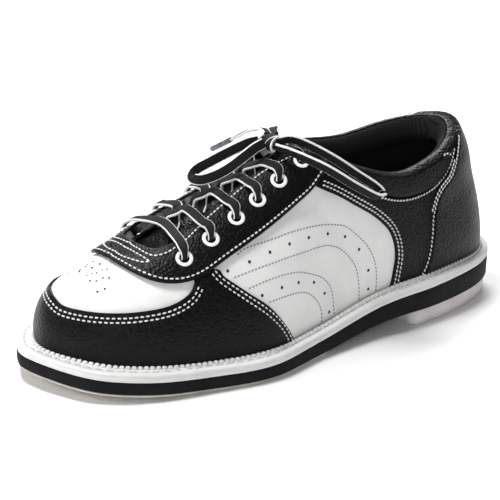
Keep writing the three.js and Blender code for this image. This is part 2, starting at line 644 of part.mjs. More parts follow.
function tonguePoint(t, across, depth) {
  const split = 0.82;
  const station = lerp(TONGUE_ROOT, TONGUE_REAR, Math.min(t / split, 1));
  const reach = 0.4 * (1 - 0.25 * smoothstep(0.9, 1, t));
  const spot = (a) => [station, 1 - a * reach];
  const level = (a) => lifted(...spot(a), TONGUE_LEVEL - depth - 1.4 * smoothstep(0.5, 0.8, t));
  const bridge = 0.3;
  let p = Math.abs(across) >= bridge
    ? level(across)
    : mixPoints(level(-bridge), level(bridge), (across + bridge) / (2 * bridge));
  const crown = 1.5 * smoothstep(0.15, 0.35, t) * (1 - Math.min(Math.abs(across) / bridge, 1) ** 2);
  const beyond = TONGUE_TIP * clamp01((t - split) / (1 - split));
  return [p[0] - 0.72 * beyond, p[1], p[2] + crown + 0.7 * beyond - 0.02 * beyond * Math.abs(p[1])];
}

function tongueLayer(top, thick, shorter) {
  const at = (i, j) => tonguePoint(lerp(shorter, 1 - shorter, i), lerp(-1, 1, j) * (1 - shorter), top);
  return shell(10, 11, at, [-thick, 0]);
}

function addTongue() {
  add("tongue_face", tongueLayer(0, TONGUE_FACE, 0), "blackLeather");
  const padTop = TONGUE_FACE + 0.9;
  add("tongue_padding", tongueLayer(padTop, TONGUE_PAD, 0.03), "foam");
  add("tongue_lining", tongueLayer(padTop + TONGUE_PAD + 1.2, TONGUE_LINING, 0), "textile");
}

// ---------------------------------------------------------------- laces
const LACE_OVER = LAYER.top[1] + LACE_THICK / 2 + 0.6; // the lace's middle, over the eyestay
const LACE_UNDER = TONGUE_LEVEL + LACE_THICK / 2 + 0.6; // and over the tongue

// A point over the throat at one station: `across` from the inner (-1) to the outer flap (1).
function overThroat(station, across, height) {
  const p = mixPoints(onUpper(station, 1.1), onUpper(station, 0.9), (across + 1) / 2);
  return [p[0] + 0.35 * height, p[1], p[2] + height];
}

const sideways = (name) => (name === "outer" ? (v) => v : (v) => 2 - v);

// The lace coming up out of an eyelet and bending over toward the throat: places, and the way that
// its flat face looks. It leans forward by `lean` stations as it bends.
function outOfEyelet(name, k, lean = -0.002) {
  const own = sideways(name);
  const [u, v] = EYELET_SPOTS[k];
  const n = normalAt(u, own(v));
  const toRidge = new THREE.Vector3(...onUpper(u, own(v + 0.05))).sub(new THREE.Vector3(...onUpper(u, own(v)))).normalize();
  const places = [lifted(u, own(v), 0.4), lifted(u, own(v + 0.004), 3.5), lifted(u + lean, own(v + 0.06), LACE_OVER + 1.2)];
  const faces = [toRidge.clone().negate(), n.clone().sub(toRidge), n].map((f) => f.toArray());
  return { places, faces };
}

// One run of lace: out of eyelet k on one side, over its flap, across the throat and down to the
// tongue at the other flap's edge, one station farther forward. Outer runs cross over inner ones.
function laceRun(name, k) {
  const own = sideways(name);
  const [u, v] = EYELET_SPOTS[k];
  const sign = name === "outer" ? 1 : -1;
  const heights = name === "outer" ? [2.8, 2.3, 1.2, LACE_UNDER + 2.2] : [2.4, -0.8, -2.7, LACE_UNDER + 1.2];
  const { places, faces } = outOfEyelet(name, k);
  const ahead = (t) => lerp(u, EYELET_SPOTS[k - 1][0], t);
  const across = [0.68, 0.1, -0.38, -0.6].map((a, i) => overThroat(ahead([0.22, 0.5, 0.68, 0.82][i]), a * sign, heights[i]));
  const end = normalAt(u, own(0.95)).toArray();
  const path = [...places, lifted(ahead(0.08), own(v + 0.12), LACE_OVER + 0.4), ...across];
  return strip(path, [...faces, faces[2], end, end, end, end], LACE_WIDTH, LACE_THICK, 12, [3, LACE_WIDTH]);
}

// The foremost run, straight across between the first two eyelets.
function laceBar() {
  const [u, v] = EYELET_SPOTS[0];
  const outer = outOfEyelet("outer", 0);
  const inner = outOfEyelet("inner", 0);
  const middle = [lifted(u, v + 0.16, LACE_OVER), overThroat(u, 0, 1.6), lifted(u, 2 - v - 0.16, LACE_OVER)];
  const path = [...outer.places, ...middle, ...inner.places.reverse()];
  const faces = [...outer.faces, outer.faces[2], [0.4, 0, 0.9], inner.faces[2], ...[...inner.faces].reverse()];
  return strip(path, faces, LACE_WIDTH, LACE_THICK, 18, [3, 3]);
}

// From the last eyelet on one side to the knot.
function laceToKnot(name) {
  const { places, faces } = outOfEyelet(name, EYELET_COUNT - 1, 0.004);
  const sign = name === "outer" ? 1 : -1;
  const path = [...places, [KNOT[0] - 0.5, KNOT[1] + sign * (KNOT_SIZE[1] + 1.2), KNOT[2] - 0.5]];
  return strip(path, [...faces, [0, 0.5 * sign, 0.8]], LACE_WIDTH, LACE_THICK, 8, [2.8, 4]);
}

// The bow's knot, with two loops and two loose ends.
const KNOT = [10.5, 4, 105.5];
const KNOT_SIZE = [5.5, 5.5, 4]; // half its length, width and height
const AGLET_RADIUS = 1.5;

const OUTER_LOOP = [
  [12, 11, 109], [7.5, 15, 110], [-1, 20, 106], [-11, 27, 99.5], [-23, 33, 90.5], [-31, 37, 84.5],
  [-33.5, 40, 80.5], [-27, 42.5, 81], [-13, 40.5, 89], [0, 34.5, 98], [8.5, 26, 103], [12, 18, 105], [14, 11, 105.5],
];
const INNER_LOOP = [
  [16.5, -1.5, 106.5], [23, -3, 105.5], [33, -5, 102], [43, -7, 98], [51.5, -7.5, 95], [57, -3.5, 93],
  [55, 1, 92.5], [48.5, 3.5, 94], [40, 4.5, 97], [32, 5.5, 101.5], [24, 5, 105], [17.5, 4, 106.5],
];
const FRONT_END = [[10, -2, 109], [7, -9, 109], [5.5, -16, 107.5], [6, -23.5, 104.5], [8.5, -33.8, 98]];
const REAR_END = [[5, -2, 108], [-1.5, -11, 107.5], [-8, -21, 104.5], [-13, -31, 97], [-14.5, -37.5, 87.5], [-14, -40, 78]];

const laceFaces = (path, face) => path.map(() => face);

function aglet(path) {
  const [before, end] = path.slice(-2).map((p) => new THREE.Vector3(...p));
  const forward = end.clone().sub(before).normalize();
  const profile = [[0, 0], [AGLET_RADIUS, 0], [AGLET_RADIUS, AGLET_LENGTH - 1], [AGLET_RADIUS - 0.6, AGLET_LENGTH], [0, AGLET_LENGTH]];
  const geometry = new THREE.LatheGeometry(profile.map(([r, h]) => new THREE.Vector2(r, h)), 10);
  geometry.applyQuaternion(new THREE.Quaternion().setFromUnitVectors(new THREE.Vector3(0, 1, 0), forward));
  return geometry.translate(...end.addScaledVector(forward, GAP).toArray());
}

const AGLET_LENGTH = 16;

function addLaces() {
  add("lace_bar", laceBar(), "lace");
  for (const k of range(EYELET_COUNT - 1).slice(1)) {
    add(`lace_run_outer_${k + 1}`, laceRun("outer", k), "lace");
    add(`lace_run_inner_${k + 1}`, laceRun("inner", k), "lace");
  }
  add("lace_to_knot_outer", laceToKnot("outer"), "lace");
  add("lace_to_knot_inner", laceToKnot("inner"), "lace");
  const knot = new THREE.SphereGeometry(1, 12, 8).scale(...KNOT_SIZE).translate(...KNOT);
  add("lace_knot", knot, "lace");
  const up = [0, 0.5, 0.85];
  add("lace_loop_outer", strip(OUTER_LOOP, laceFaces(OUTER_LOOP, [0.6, 0.6, -0.5]), LACE_WIDTH, LACE_THICK, 26), "lace");
  add("lace_loop_inner", strip(INNER_LOOP, laceFaces(INNER_LOOP, [0.3, 0.9, 0.3]), LACE_WIDTH, LACE_THICK, 22), "lace");
  add("lace_end_front", strip(FRONT_END, laceFaces(FRONT_END, up), LACE_WIDTH, LACE_THICK, 8, [4, 2.6]), "lace");
  add("lace_end_rear", strip(REAR_END, laceFaces(REAR_END, [-0.3, -0.8, 0.5]), LACE_WIDTH, LACE_THICK, 10, [4, 2.6]), "lace");
  add("aglet_front", aglet(FRONT_END), "aglet");
  add("aglet_rear", aglet(REAR_END), "aglet");
}

addBottomUnit();
addFilling();
addFootbed();
addInnerLayers();
addPanels();
addBackstay();
addCollar();
addTongue();
addEyelets();
addLaces();

export default shoe;
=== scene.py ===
"""A left bowling shoe: black and white leather, laced, on a welted sole with a separate heel.

Metres. +X is the toe, +Y the outer side, +Z up. Most pieces lie on one surface, the upper's, in
layers that are a few tenths of a millimetre apart. A spot on it is (u, v): u runs from the heel (0)
along the outer side to the toe (1), and v from the welt (0) to the instep's ridge (1).
"""

import math

import bpy
import numpy as np
from mathutils import Matrix, Vector


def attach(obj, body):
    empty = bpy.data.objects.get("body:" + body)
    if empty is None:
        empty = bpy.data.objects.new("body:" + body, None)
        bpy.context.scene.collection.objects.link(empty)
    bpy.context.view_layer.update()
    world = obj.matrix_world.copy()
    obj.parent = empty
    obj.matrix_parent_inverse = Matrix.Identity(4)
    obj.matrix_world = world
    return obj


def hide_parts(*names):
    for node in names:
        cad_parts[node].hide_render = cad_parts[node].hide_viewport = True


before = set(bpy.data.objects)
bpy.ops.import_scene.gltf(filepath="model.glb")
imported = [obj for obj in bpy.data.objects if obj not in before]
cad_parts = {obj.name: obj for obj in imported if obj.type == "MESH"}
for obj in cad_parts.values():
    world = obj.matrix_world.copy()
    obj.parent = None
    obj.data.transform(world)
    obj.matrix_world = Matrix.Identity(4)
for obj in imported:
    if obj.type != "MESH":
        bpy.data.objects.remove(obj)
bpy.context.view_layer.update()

MM = 0.001
UP = np.array([0.0, 0.0, 1.0])

# ---------------------------------------------------------------- driving dimensions, as in the CAD
GAP = 0.3 * MM
HEEL_HEIGHT = 9.0 * MM
HEEL_BREAST_X = -62 * MM
SLIDE_THICK = 1.2 * MM
SLIDE_REAR_X = 0.0
TOE_SPRING = 6.5 * MM
MIDSOLE_TOE = 6.5 * MM
MIDSOLE_HEEL = 12.0 * MM
WELT_THICK = 4.5 * MM
EYELET_OUTER = 4.35 * MM
EYELET_HOLE = 2.5 * MM
LACE_WIDTH = 5.6 * MM
LACE_THICK = 1.6 * MM
TONGUE_LEVEL = -6.3 * MM

# Each layer's inner and outer face, from the upper's surface outward.
LAYER = {
    "lining": (-4.9 * MM, -4.0 * MM),
    "base": (-1.9 * MM, -0.9 * MM),
    "overlay": (-0.85 * MM, 0.5 * MM),
    "top": (0.55 * MM, 1.9 * MM),
}

SOLE_EDGE = MM * np.array([
    [-150, -1], [-143, 16], [-128, 28], [-105, 36.5], [-70, 42.5], [-30, 42], [10, 46.7], [45, 54],
    [80, 48.5], [112, 40.5], [136, 24.5], [149.4, -6.5], [147, -24], [132, -43], [108, -52], [75, -54],
    [40, -49], [0, -38], [-35, -31], [-70, -32], [-105, -36], [-128, -33], [-143, -21],
])
TOE_TIP = 11  # the point of SOLE_EDGE at the toe

# Upright ribs of the upper: foot x, y on the welt, top x, y, z, squareness, belly.
RIB_UNITS = np.array([MM] * 5 + [1, MM])
OUTER_RIBS = RIB_UNITS * np.array([
    [-141.5, -1, -118, -2, 99.5, 1.25, 3], [-136.5, 13, -115, 8, 97.5, 1.25, 3],
    [-122, 24, -105, 17.5, 92.5, 1.2, 3], [-101, 30, -86, 24.5, 86.5, 1.15, 3],
    [-70, 34.5, -59, 27.5, 82.8, 1.2, 2], [-32, 35, -32, 26, 90, 1.35, 1],
    [8, 40, -4, 12, 101.5, 1.6, 1], [42, 46, 32, 1, 90, 1.8, 1.5],
    [76, 41.5, 66, -2, 76, 2.0, 2], [105, 33.5, 91, -4, 64.3, 2.2, 2],
    [127, 20, 107, -6, 57.3, 2.3, 2], [141, -7, 115, -8, 53.5, 2.35, 2],
])
INNER_RIBS = RIB_UNITS * np.array([
    [-141.5, -1, -118, -2, 99.5, 1.25, 3], [-136.5, -15, -115, -12, 99, 1.2, 3],
    [-122, -26, -106, -20, 97.6, 1.15, 3], [-101, -30.5, -88, -25.5, 95, 1.15, 3],
    [-70, -27, -60, -28, 91, 1.2, 2], [-32, -25, -32, -25, 94, 1.35, 1],
    [8, -32, -4, -11, 101.5, 1.6, 1], [40, -42, 32, 1, 90, 1.8, 1],
    [76, -47.5, 66, -2, 76, 1.8, 1.5], [106, -45.5, 91, -4, 64.3, 1.8, 1.5],
    [130.5, -32.5, 107, -6, 57.3, 2.0, 2], [141, -7, 115, -8, 53.5, 2.35, 2],
])
EYELET_SPOTS = [
    (0.752, 0.6), (0.706, 0.636), (0.664, 0.675), (0.628, 0.71), (0.593, 0.752), (0.557, 0.828),
]

# The laces' free routes, as in the CAD.
KNOT = MM * np.array([10.5, 4, 105.5])
OUTER_LOOP = MM * np.array([
    [12, 11, 109], [7.5, 15, 110], [-1, 20, 106], [-11, 27, 99.5], [-23, 33, 90.5], [-31, 37, 84.5],
    [-33.5, 40, 80.5], [-27, 42.5, 81], [-13, 40.5, 89], [0, 34.5, 98], [8.5, 26, 103], [12, 18, 105],
    [14, 11, 105.5],
])
INNER_LOOP = MM * np.array([
    [16.5, -1.5, 106.5], [23, -3, 105.5], [33, -5, 102], [43, -7, 98], [51.5, -7.5, 95], [57, -3.5, 93],
    [55, 1, 92.5], [48.5, 3.5, 94], [40, 4.5, 97], [32, 5.5, 101.5], [24, 5, 105], [17.5, 4, 106.5],
])
FRONT_END = MM * np.array([
    [10, -2, 109], [7, -9, 109], [5.5, -16, 107.5], [6, -23.5, 104.5], [8.5, -33.8, 98],
])
REAR_END = MM * np.array([
    [5, -2, 108], [-1.5, -11, 107.5], [-8, -21, 104.5], [-13, -31, 97], [-14.5, -37.5, 87.5], [-14, -40, 78],
])
AGLET_LENGTH = 16 * MM
AGLET_RADIUS = 1.5 * MM


# ---------------------------------------------------------------- camera
CAMERA_AZIMUTH = math.radians(38.8)  # from +Y toward +X
CAMERA_ELEVATION = math.radians(19.86)
CAMERA_ROLL = math.radians(2.0)
CAMERA_DISTANCE = 0.8428
CAMERA_LENS = 116.1
CAMERA_TARGET = Vector((0.0205, 0.0, 0.04805))


def make_camera():
    data = bpy.data.cameras.new("camera")
    data.lens = CAMERA_LENS
    data.sensor_width = 36
    camera = bpy.data.objects.new("camera", data)
    bpy.context.scene.collection.objects.link(camera)
    flat, rise = math.cos(CAMERA_ELEVATION), math.sin(CAMERA_ELEVATION)
    toward_x, toward_y = math.sin(CAMERA_AZIMUTH), math.cos(CAMERA_AZIMUTH)
    back = Vector((toward_x * flat, toward_y * flat, rise))
    right = Vector((-toward_y, toward_x, 0))
    above = back.cross(right)
    turned_right = right * math.cos(CAMERA_ROLL) + above * math.sin(CAMERA_ROLL)
    turned_above = above * math.cos(CAMERA_ROLL) - right * math.sin(CAMERA_ROLL)
    turn = Matrix((turned_right, turned_above, back)).transposed()
    camera.matrix_world = Matrix.Translation(CAMERA_TARGET + back * CAMERA_DISTANCE) @ turn.to_4x4()
    bpy.context.scene.camera = camera


# ---------------------------------------------------------------- small maths
def mix(a, b, t):
    return a + (b - a) * t


def smooth(start, end, x):
    t = np.clip((x - start) / (end - start), 0, 1)
    return t * t * (3 - 2 * t)


def unit(vectors):
    return vectors / np.maximum(np.linalg.norm(vectors, axis=-1, keepdims=True), 1e-12)


def blend4(p0, p1, p2, p3, t):
    """A Catmull-Rom blend."""
    return 0.5 * (2 * p1 + (p2 - p0) * t + (2 * p0 - 5 * p1 + 4 * p2 - p3) * t**2
                  + (3 * p1 - p0 - 3 * p2 + p3) * t**3)


def along(points, t):
    """Points at t, from 0 to 1, on a smooth open curve through a list of points."""
    points = np.asarray(points, float)
    spans = len(points) - 1
    knots = np.concatenate([2 * points[:1] - points[1:2], points, 2 * points[-1:] - points[-2:-1]])
    place = np.clip(np.asarray(t, float), 0, 1) * spans
    i = np.minimum(place.astype(int), spans - 1)
    rest = (place - i)[..., None]
    return blend4(knots[i], knots[i + 1], knots[i + 2], knots[i + 3], rest)


def steps_along(points):
    """The distance along a line of points, at each point."""
    return np.concatenate([[0], np.cumsum(np.linalg.norm(np.diff(points, axis=0), axis=1))])


# ---------------------------------------------------------------- heights of the bottom unit
def midsole_bottom(x):
    ground = SLIDE_THICK + GAP
    spring = TOE_SPRING * np.clip((x - 0.055) / 0.095, 0, 1) ** 2
    return ground + spring + (HEEL_HEIGHT - ground) * smooth(0.020, HEEL_BREAST_X, x)


def midsole_top(x):
    return midsole_bottom(x) + mix(MIDSOLE_TOE, MIDSOLE_HEEL, smooth(0.060, -0.110, x))


def welt_top(x):
    return midsole_top(x) + WELT_THICK


# ---------------------------------------------------------------- the upper's surface
def ribs_at(ribs, others, station):
    spans = len(ribs) - 1
    knots = np.concatenate([others[1:2], ribs, others[-2:-1]])
    place = np.clip(station, 0, 1) * spans
    i = np.minimum(place.astype(int), spans - 1)
    return blend4(knots[i], knots[i + 1], knots[i + 2], knots[i + 3], (place - i)[..., None])


def on_upper(u, v):
    """Points of the upper's surface. The inner side is u below 0 or above 1, and v above 1."""
    u, v = np.broadcast_arrays(np.asarray(u, float), np.asarray(v, float))
    station = np.where(u < 0, -u, np.where(u > 1, 2 - u, u))
    inner = ((u < 0) | (u > 1)) != (v > 1)
    ribs = np.where(inner[..., None], ribs_at(INNER_RIBS, OUTER_RIBS, station),
                    ribs_at(OUTER_RIBS, INNER_RIBS, station))
    foot, top, box, belly = ribs[..., :2], ribs[..., 2:5], ribs[..., 5], ribs[..., 6]
    angle = math.pi / 2 * np.clip(np.where(v > 1, 2 - v, v), 0, 1)
    inward = 1 - np.maximum(np.cos(angle), 0) ** (2 / box)
    rise = np.sin(angle) ** (2 / box)
    span = np.linalg.norm(foot - top[..., :2], axis=-1)
    bulge = belly / span * np.sin(math.pi * rise) * np.exp(-1.5 * rise)
    flat = mix(foot, top[..., :2], (inward - bulge)[..., None])
    height = mix(welt_top(foot[..., 0]) + GAP, top[..., 2], rise)
    return np.concatenate([flat, height[..., None]], axis=-1)


def tangents(u, v, step=0.004):
    over_u = (on_upper(u + step, v) - on_upper(u - step, v)) / (2 * step)
    high = np.minimum(v + step, 2)
    low = np.maximum(v - step, 0)
    over_v = (on_upper(u, high) - on_upper(u, low)) / (high - low)[..., None]
    return over_u, over_v


def normal_at(u, v):
    u, v = np.broadcast_arrays(np.asarray(u, float), np.asarray(v, float))
    normal = unit(np.cross(*tangents(u, v)))
    spot = on_upper(u, v)
    core = np.stack([np.clip(spot[..., 0], -0.09, 0.095), 0 * spot[..., 1], 0 * spot[..., 2] + 0.03], -1)
    return normal * np.sign(np.sum(normal * (spot - core), -1, keepdims=True))


def lifted(u, v, distance):
    return on_upper(u, v) + normal_at(u, v) * np.asarray(distance)[..., None]


def over_ridge(half):
    return list(half) + [(u, 2 - v) for u, v in half[-2::-1]]


def round_toe(half):
    return list(half) + [(2 - u, v) for u, v in half[-2::-1]]


def other_side(curve):
    return [(-u, v) for u, v in curve]


# ---------------------------------------------------------------- meshes
def new_piece(name, points, faces, materials, body="shoe", marks=None, coords=None):
    """A piece from points and faces, with its normals facing out. marks gives each face's material,
    coords each point's place in its material's own directions."""
    mesh = bpy.data.meshes.new(name)
    mesh.from_pydata(np.asarray(points).tolist(), [], faces)
    for m in materials:
        mesh.materials.append(m)
    if marks is not None:
        mesh.polygons.foreach_set("material_index", marks)
    if coords is not None:
        layer = mesh.uv_layers.new(name="UVMap")
        corners = np.zeros(len(mesh.loops), int)
        mesh.loops.foreach_get("vertex_index", corners)
        layer.data.foreach_set("uv", np.asarray(coords, float)[corners].ravel())
    piece = bpy.data.objects.new(f"{name}_fine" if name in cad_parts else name, mesh)
    bpy.context.scene.collection.objects.link(piece)
    face_out(mesh)
    mesh.shade_smooth()
    mesh.set_sharp_from_angle(angle=math.radians(48))
    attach(piece, body)
    return piece


def face_out(mesh):
    """Turns a closed mesh's faces outward, going by its volume."""
    mesh.calc_loop_triangles()
    points = np.array([v.co for v in mesh.vertices])
    tri = points[np.array([t.vertices[:] for t in mesh.loop_triangles])]
    centre = points.mean(0)
    volume = np.sum((tri[:, 0] - centre) * np.cross(tri[:, 1] - centre, tri[:, 2] - centre))
    if volume < 0:
        mesh.flip_normals()


def grid_faces(rows, columns, start=0, loop=False):
    last = columns if loop else columns - 1
    faces = []
    for i in range(rows - 1):
        for j in range(last):
            a, b = start + i * columns + j, start + i * columns + (j + 1) % columns
            faces.append((a, a + columns, b + columns, b))
    return faces


def shell_faces(rows, columns, loop=False):
    """Faces of a closed shell: an outer grid of points, then an inner grid of as many."""
    n = rows * columns
    outer = grid_faces(rows, columns, loop=loop)
    inner = [f[::-1] for f in grid_faces(rows, columns, start=n, loop=loop)]
    walls = []
    for i in range(rows - 1):
        if not loop:
            for j in (0, columns - 1):
                a, b = i * columns + j, (i + 1) * columns + j
                walls.append((a, a + n, b + n, b) if j == 0 else (a, b, b + n, a + n))
    for j in range(columns if loop else columns - 1):
        for i in (0, rows - 1):
            a, b = i * columns + j, i * columns + (j + 1) % columns
            walls.append((a, b, b + n, a + n) if i == 0 else (a, a + n, b + n, b))
    return outer + inner + walls


# A cut leather edge: distance from the edge, and the share of the thickness there.
ROLL = [(0.0, 0.3), (0.12 * MM, 0.62), (0.35 * MM, 0.86), (0.8 * MM, 0.98), (1.4 * MM, 1.0)]


def rolled(length, count):
    """Places from 0 to 1 across a panel of this length, close together at its edges, and their thickness."""
    near = np.array([d for d, _ in ROLL])[:, None] / np.maximum(length, 8 * MM)
    middle = mix(near[-1], 1 - near[-1], np.linspace(0, 1, count + 2)[1:-1, None])
    places = np.concatenate([near, middle, 1 - near[::-1]])
    share = np.array([s for _, s in ROLL])
    return places, np.concatenate([share, np.ones(count), share[::-1]])


def coons(low, high, left, right, across, run):
    """A four-sided patch between curves: run goes along low and high, across from low to high."""
    corner = [np.asarray(c[k], float) for c in (low, high) for k in (0, -1)]
    ruled = mix(along(low, run), along(high, run), across[..., None])
    side = mix(along(left, across), along(right, across), run[..., None])
    straight = mix(mix(corner[0], corner[1], run[..., None]), mix(corner[2], corner[3], run[..., None]),
                   across[..., None])
    return ruled + side - straight


def plain_relief(u, v):
    return 0 * u


def panel(name, low, high, layer, rows, columns, leather, left=None, right=None,
          relief=plain_relief, replaces=(), body="shoe"):
    """A leather panel with rounded edges, between curves of spots on the upper."""
    left = left if left is not None else [low[0], high[0]]
    right = right if right is not None else [low[-1], high[-1]]
    inner, outer = LAYER[layer]
    probe = np.linspace(0, 1, 60)
    lengths = steps_along(on_upper(*along(low, probe).T))[-1]
    run, run_share = rolled(np.array([lengths]), columns)
    run = run[:, 0]
    ends = on_upper(*along(low, run).T), on_upper(*along(high, run).T)
    across, across_share = rolled(np.linalg.norm(ends[1] - ends[0], axis=1) * 1.15, rows)
    spots = coons(low, high, left, right, across, np.broadcast_to(run, across.shape))
    u, v = spots[..., 0], spots[..., 1]
    share = np.minimum(across_share[:, None], run_share[None, :])
    surface = on_upper(u, v)
    normal = normal_at(u, v)
    height = mix(inner, outer, share) + relief(u, v)
    outside = surface + normal * height[..., None]
    inside = surface + normal * inner
    points = np.concatenate([outside.reshape(-1, 3), inside.reshape(-1, 3)])
    made = new_piece(name, points, shell_faces(*across.shape), [leather], body)
    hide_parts(*replaces)
    return made


def swept(name, sections, materials, closed_run=False, marks=None, coords=None, body="shoe"):
    """A solid from a row of closed sections, each a ring of points."""
    count, n = len(sections), len(sections[0])
    faces = grid_faces(count, n, loop=True)
    if closed_run:
        last = (count - 1) * n
        faces += [(last + k, k, (k + 1) % n, last + (k + 1) % n) for k in range(n)]
    else:
        faces += [tuple(range(n)), tuple((count - 1) * n + k for k in reversed(range(n)))]
    face_marks = None
    if marks is not None:
        rows = count if closed_run else count - 1
        face_marks = list(marks) * rows + ([] if closed_run else [0, 0])
    points = np.concatenate(sections)
    return new_piece(name, points, faces, materials, body, face_marks, coords)


# ---------------------------------------------------------------- material nodes
class Nodes:
    """A material's node tree, with short calls for the nodes that leather, rubber and cloth need."""

    def __init__(self, name, colour, roughness, **fixed):
        self.material = bpy.data.materials.new(name)
        self.material.use_nodes = True
        self.tree = self.material.node_tree
        self.shader = self.tree.nodes["Principled BSDF"]
        self.shader.inputs["Base Color"].default_value = (*colour, 1)
        self.shader.inputs["Roughness"].default_value = roughness
        self.material.diffuse_color = (*colour, 1)
        for key, value in fixed.items():
            self.shader.inputs[key.replace("_", " ")].default_value = value
        self.place = self.node("ShaderNodeTexCoord").outputs["Object"]
        self.uv = self.node("ShaderNodeTexCoord").outputs["UV"]

    def node(self, kind, **settings):
        made = self.tree.nodes.new(kind)
        for key, value in settings.items():
            setattr(made, key, value)
        return made

    def link(self, source, target):
        self.tree.links.new(source, target)

    def noise(self, size, detail=3, source=None):
        """Noise whose bumps are about this many metres across."""
        made = self.node("ShaderNodeTexNoise")
        made.inputs["Scale"].default_value = 1 / size
        made.inputs["Detail"].default_value = detail
        self.link(source or self.place, made.inputs["Vector"])
        return made.outputs["Fac"]

    def cells(self, size, feature="F1", jitter=1.0):
        made = self.node("ShaderNodeTexVoronoi", feature=feature)
        made.inputs["Scale"].default_value = 1 / size
        made.inputs["Randomness"].default_value = jitter
        self.link(self.place, made.inputs["Vector"])
        return made.outputs["Distance"]

    def wave(self, period, direction="X", distortion=0.0, source=None):
        made = self.node("ShaderNodeTexWave", bands_direction=direction)
        made.inputs["Scale"].default_value = 0.314 / period
        made.inputs["Distortion"].default_value = distortion
        self.link(source or self.place, made.inputs["Vector"])
        return made.outputs["Fac"]

    def remap(self, value, low, high, start=0.0, end=1.0):
        made = self.node("ShaderNodeMapRange")
        made.inputs["From Min"].default_value = start
        made.inputs["From Max"].default_value = end
        made.inputs["To Min"].default_value = low
        made.inputs["To Max"].default_value = high
        self.link(value, made.inputs["Value"])
        return made.outputs["Result"]

    def mixed(self, factor, colour_a, colour_b):
        made = self.node("ShaderNodeMix", data_type="RGBA")
        made.inputs["A"].default_value = (*colour_a, 1)
        made.inputs["B"].default_value = (*colour_b, 1)
        self.link(factor, made.inputs["Factor"])
        return made.outputs["Result"]

    def maths(self, operation, a, b):
        made = self.node("ShaderNodeMath", operation=operation)
        for k, value in enumerate((a, b)):
            if isinstance(value, (int, float)):
                made.inputs[k].default_value = value
            else:
                self.link(value, made.inputs[k])
        return made.outputs["Value"]

    def bump(self, height, depth, strength=1.0, under=None):
        made = self.node("ShaderNodeBump")
        made.inputs["Distance"].default_value = depth
        made.inputs["Strength"].default_value = strength
        self.link(height, made.inputs["Height"])
        if under is not None:
            self.link(under, made.inputs["Normal"])
        return made.outputs["Normal"]

    def use(self, **sockets):
        for key, value in sockets.items():
            self.link(value, self.shader.inputs[key.replace("_", " ")])
        return self.material


def pebbled_leather(name, light=(0.005, 0.005, 0.0055), dark=(0.0015, 0.0015, 0.002)):
    """Black leather with rounded pebbles about 1.5 mm across, and finer grain between them."""
    m = Nodes(name, dark, 0.4, Specular_IOR_Level=0.14)
    pebbles = m.cells(1.2 * MM, feature="SMOOTH_F1")
    grain = m.noise(0.5 * MM, 2)
    soft = m.noise(14 * MM, 2)
    base = m.bump(soft, 0.5 * MM, 0.25)
    coarse = m.bump(m.remap(pebbles, 1, 0, 0.0, 0.75), 0.33 * MM, 1.0, base)
    fine = m.bump(grain, 0.06 * MM, 0.7, coarse)
    colour = m.mixed(m.remap(pebbles, 1, 0, 0.1, 0.7), dark, light)
    gloss = m.maths("ADD", m.remap(soft, 0.28, 0.38, 0.3, 0.7), m.remap(grain, 0.0, 0.1, 0.3, 0.7))
    return m.use(Base_Color=colour, Roughness=gloss, Normal=fine)


def smooth_leather(name, light=(0.84, 0.84, 0.83), dark=(0.74, 0.74, 0.735)):
    """White leather with a faint grain and soft creases."""
    m = Nodes(name, light, 0.4, Specular_IOR_Level=0.45)
    soft = m.noise(22 * MM, 3)
    pores = m.cells(0.9 * MM)
    base = m.bump(soft, 0.9 * MM, 0.3)
    fine = m.bump(pores, 0.05 * MM, 0.5, base)
    colour = m.mixed(m.remap(soft, 0, 1, 0.35, 0.7), light, dark)
    return m.use(Base_Color=colour, Roughness=m.remap(pores, 0.36, 0.5, 0, 0.8), Normal=fine)


def moulded_rubber(name, light, dark, roughness, grain, depth):
    m = Nodes(name, light, roughness, Specular_IOR_Level=0.15)
    patches = m.noise(9 * MM, 4)
    specks = m.noise(grain, 2)
    colour = m.mixed(m.remap(patches, 0, 1, 0.35, 0.7), light, dark)
    gloss = m.remap(specks, roughness - 0.08, roughness + 0.08, 0.3, 0.7)
    return m.use(Base_Color=colour, Roughness=gloss, Normal=m.bump(specks, depth, 0.6))


def ribbed_textile(name, light=(0.020, 0.020, 0.022), dark=(0.005, 0.005, 0.006)):
    """Black knitted lining, with ribs along and finer stitches across."""
    m = Nodes(name, dark, 0.92, Specular_IOR_Level=0.2)
    ribs = m.wave(1.7 * MM, "X", 0.4)
    rows = m.wave(1.1 * MM, "Z", 0.6)
    knit = m.maths("MULTIPLY", ribs, rows)
    fluff = m.noise(0.6 * MM, 3)
    fine = m.bump(fluff, 0.1 * MM, 0.5, m.bump(knit, 0.3 * MM, 0.7))
    return m.use(Base_Color=m.mixed(knit, dark, light), Normal=fine)


def woven_lace(name, light, dark):
    """Flat woven lace: slanted yarns, with the place along and across the lace as its coordinates."""
    m = Nodes(name, dark, 0.85, Specular_IOR_Level=0.25)
    slant = m.wave(0.85 * MM, "DIAGONAL", 0.0, m.uv)
    cross = m.wave(0.55 * MM, "X", 0.2, m.uv)
    weave = m.maths("MULTIPLY", slant, cross)
    colour = m.mixed(weave, dark, light)
    gloss = m.remap(weave, 0.75, 0.95)
    return m.use(Base_Color=colour, Roughness=gloss, Normal=m.bump(weave, 0.12 * MM, 0.7))


def waxed_thread(name, light, dark):
    m = Nodes(name, light, 0.6)
    twist = m.wave(0.45 * MM, "DIAGONAL", 1.0)
    return m.use(Base_Color=m.mixed(twist, dark, light), Normal=m.bump(twist, 0.05 * MM, 0.6))


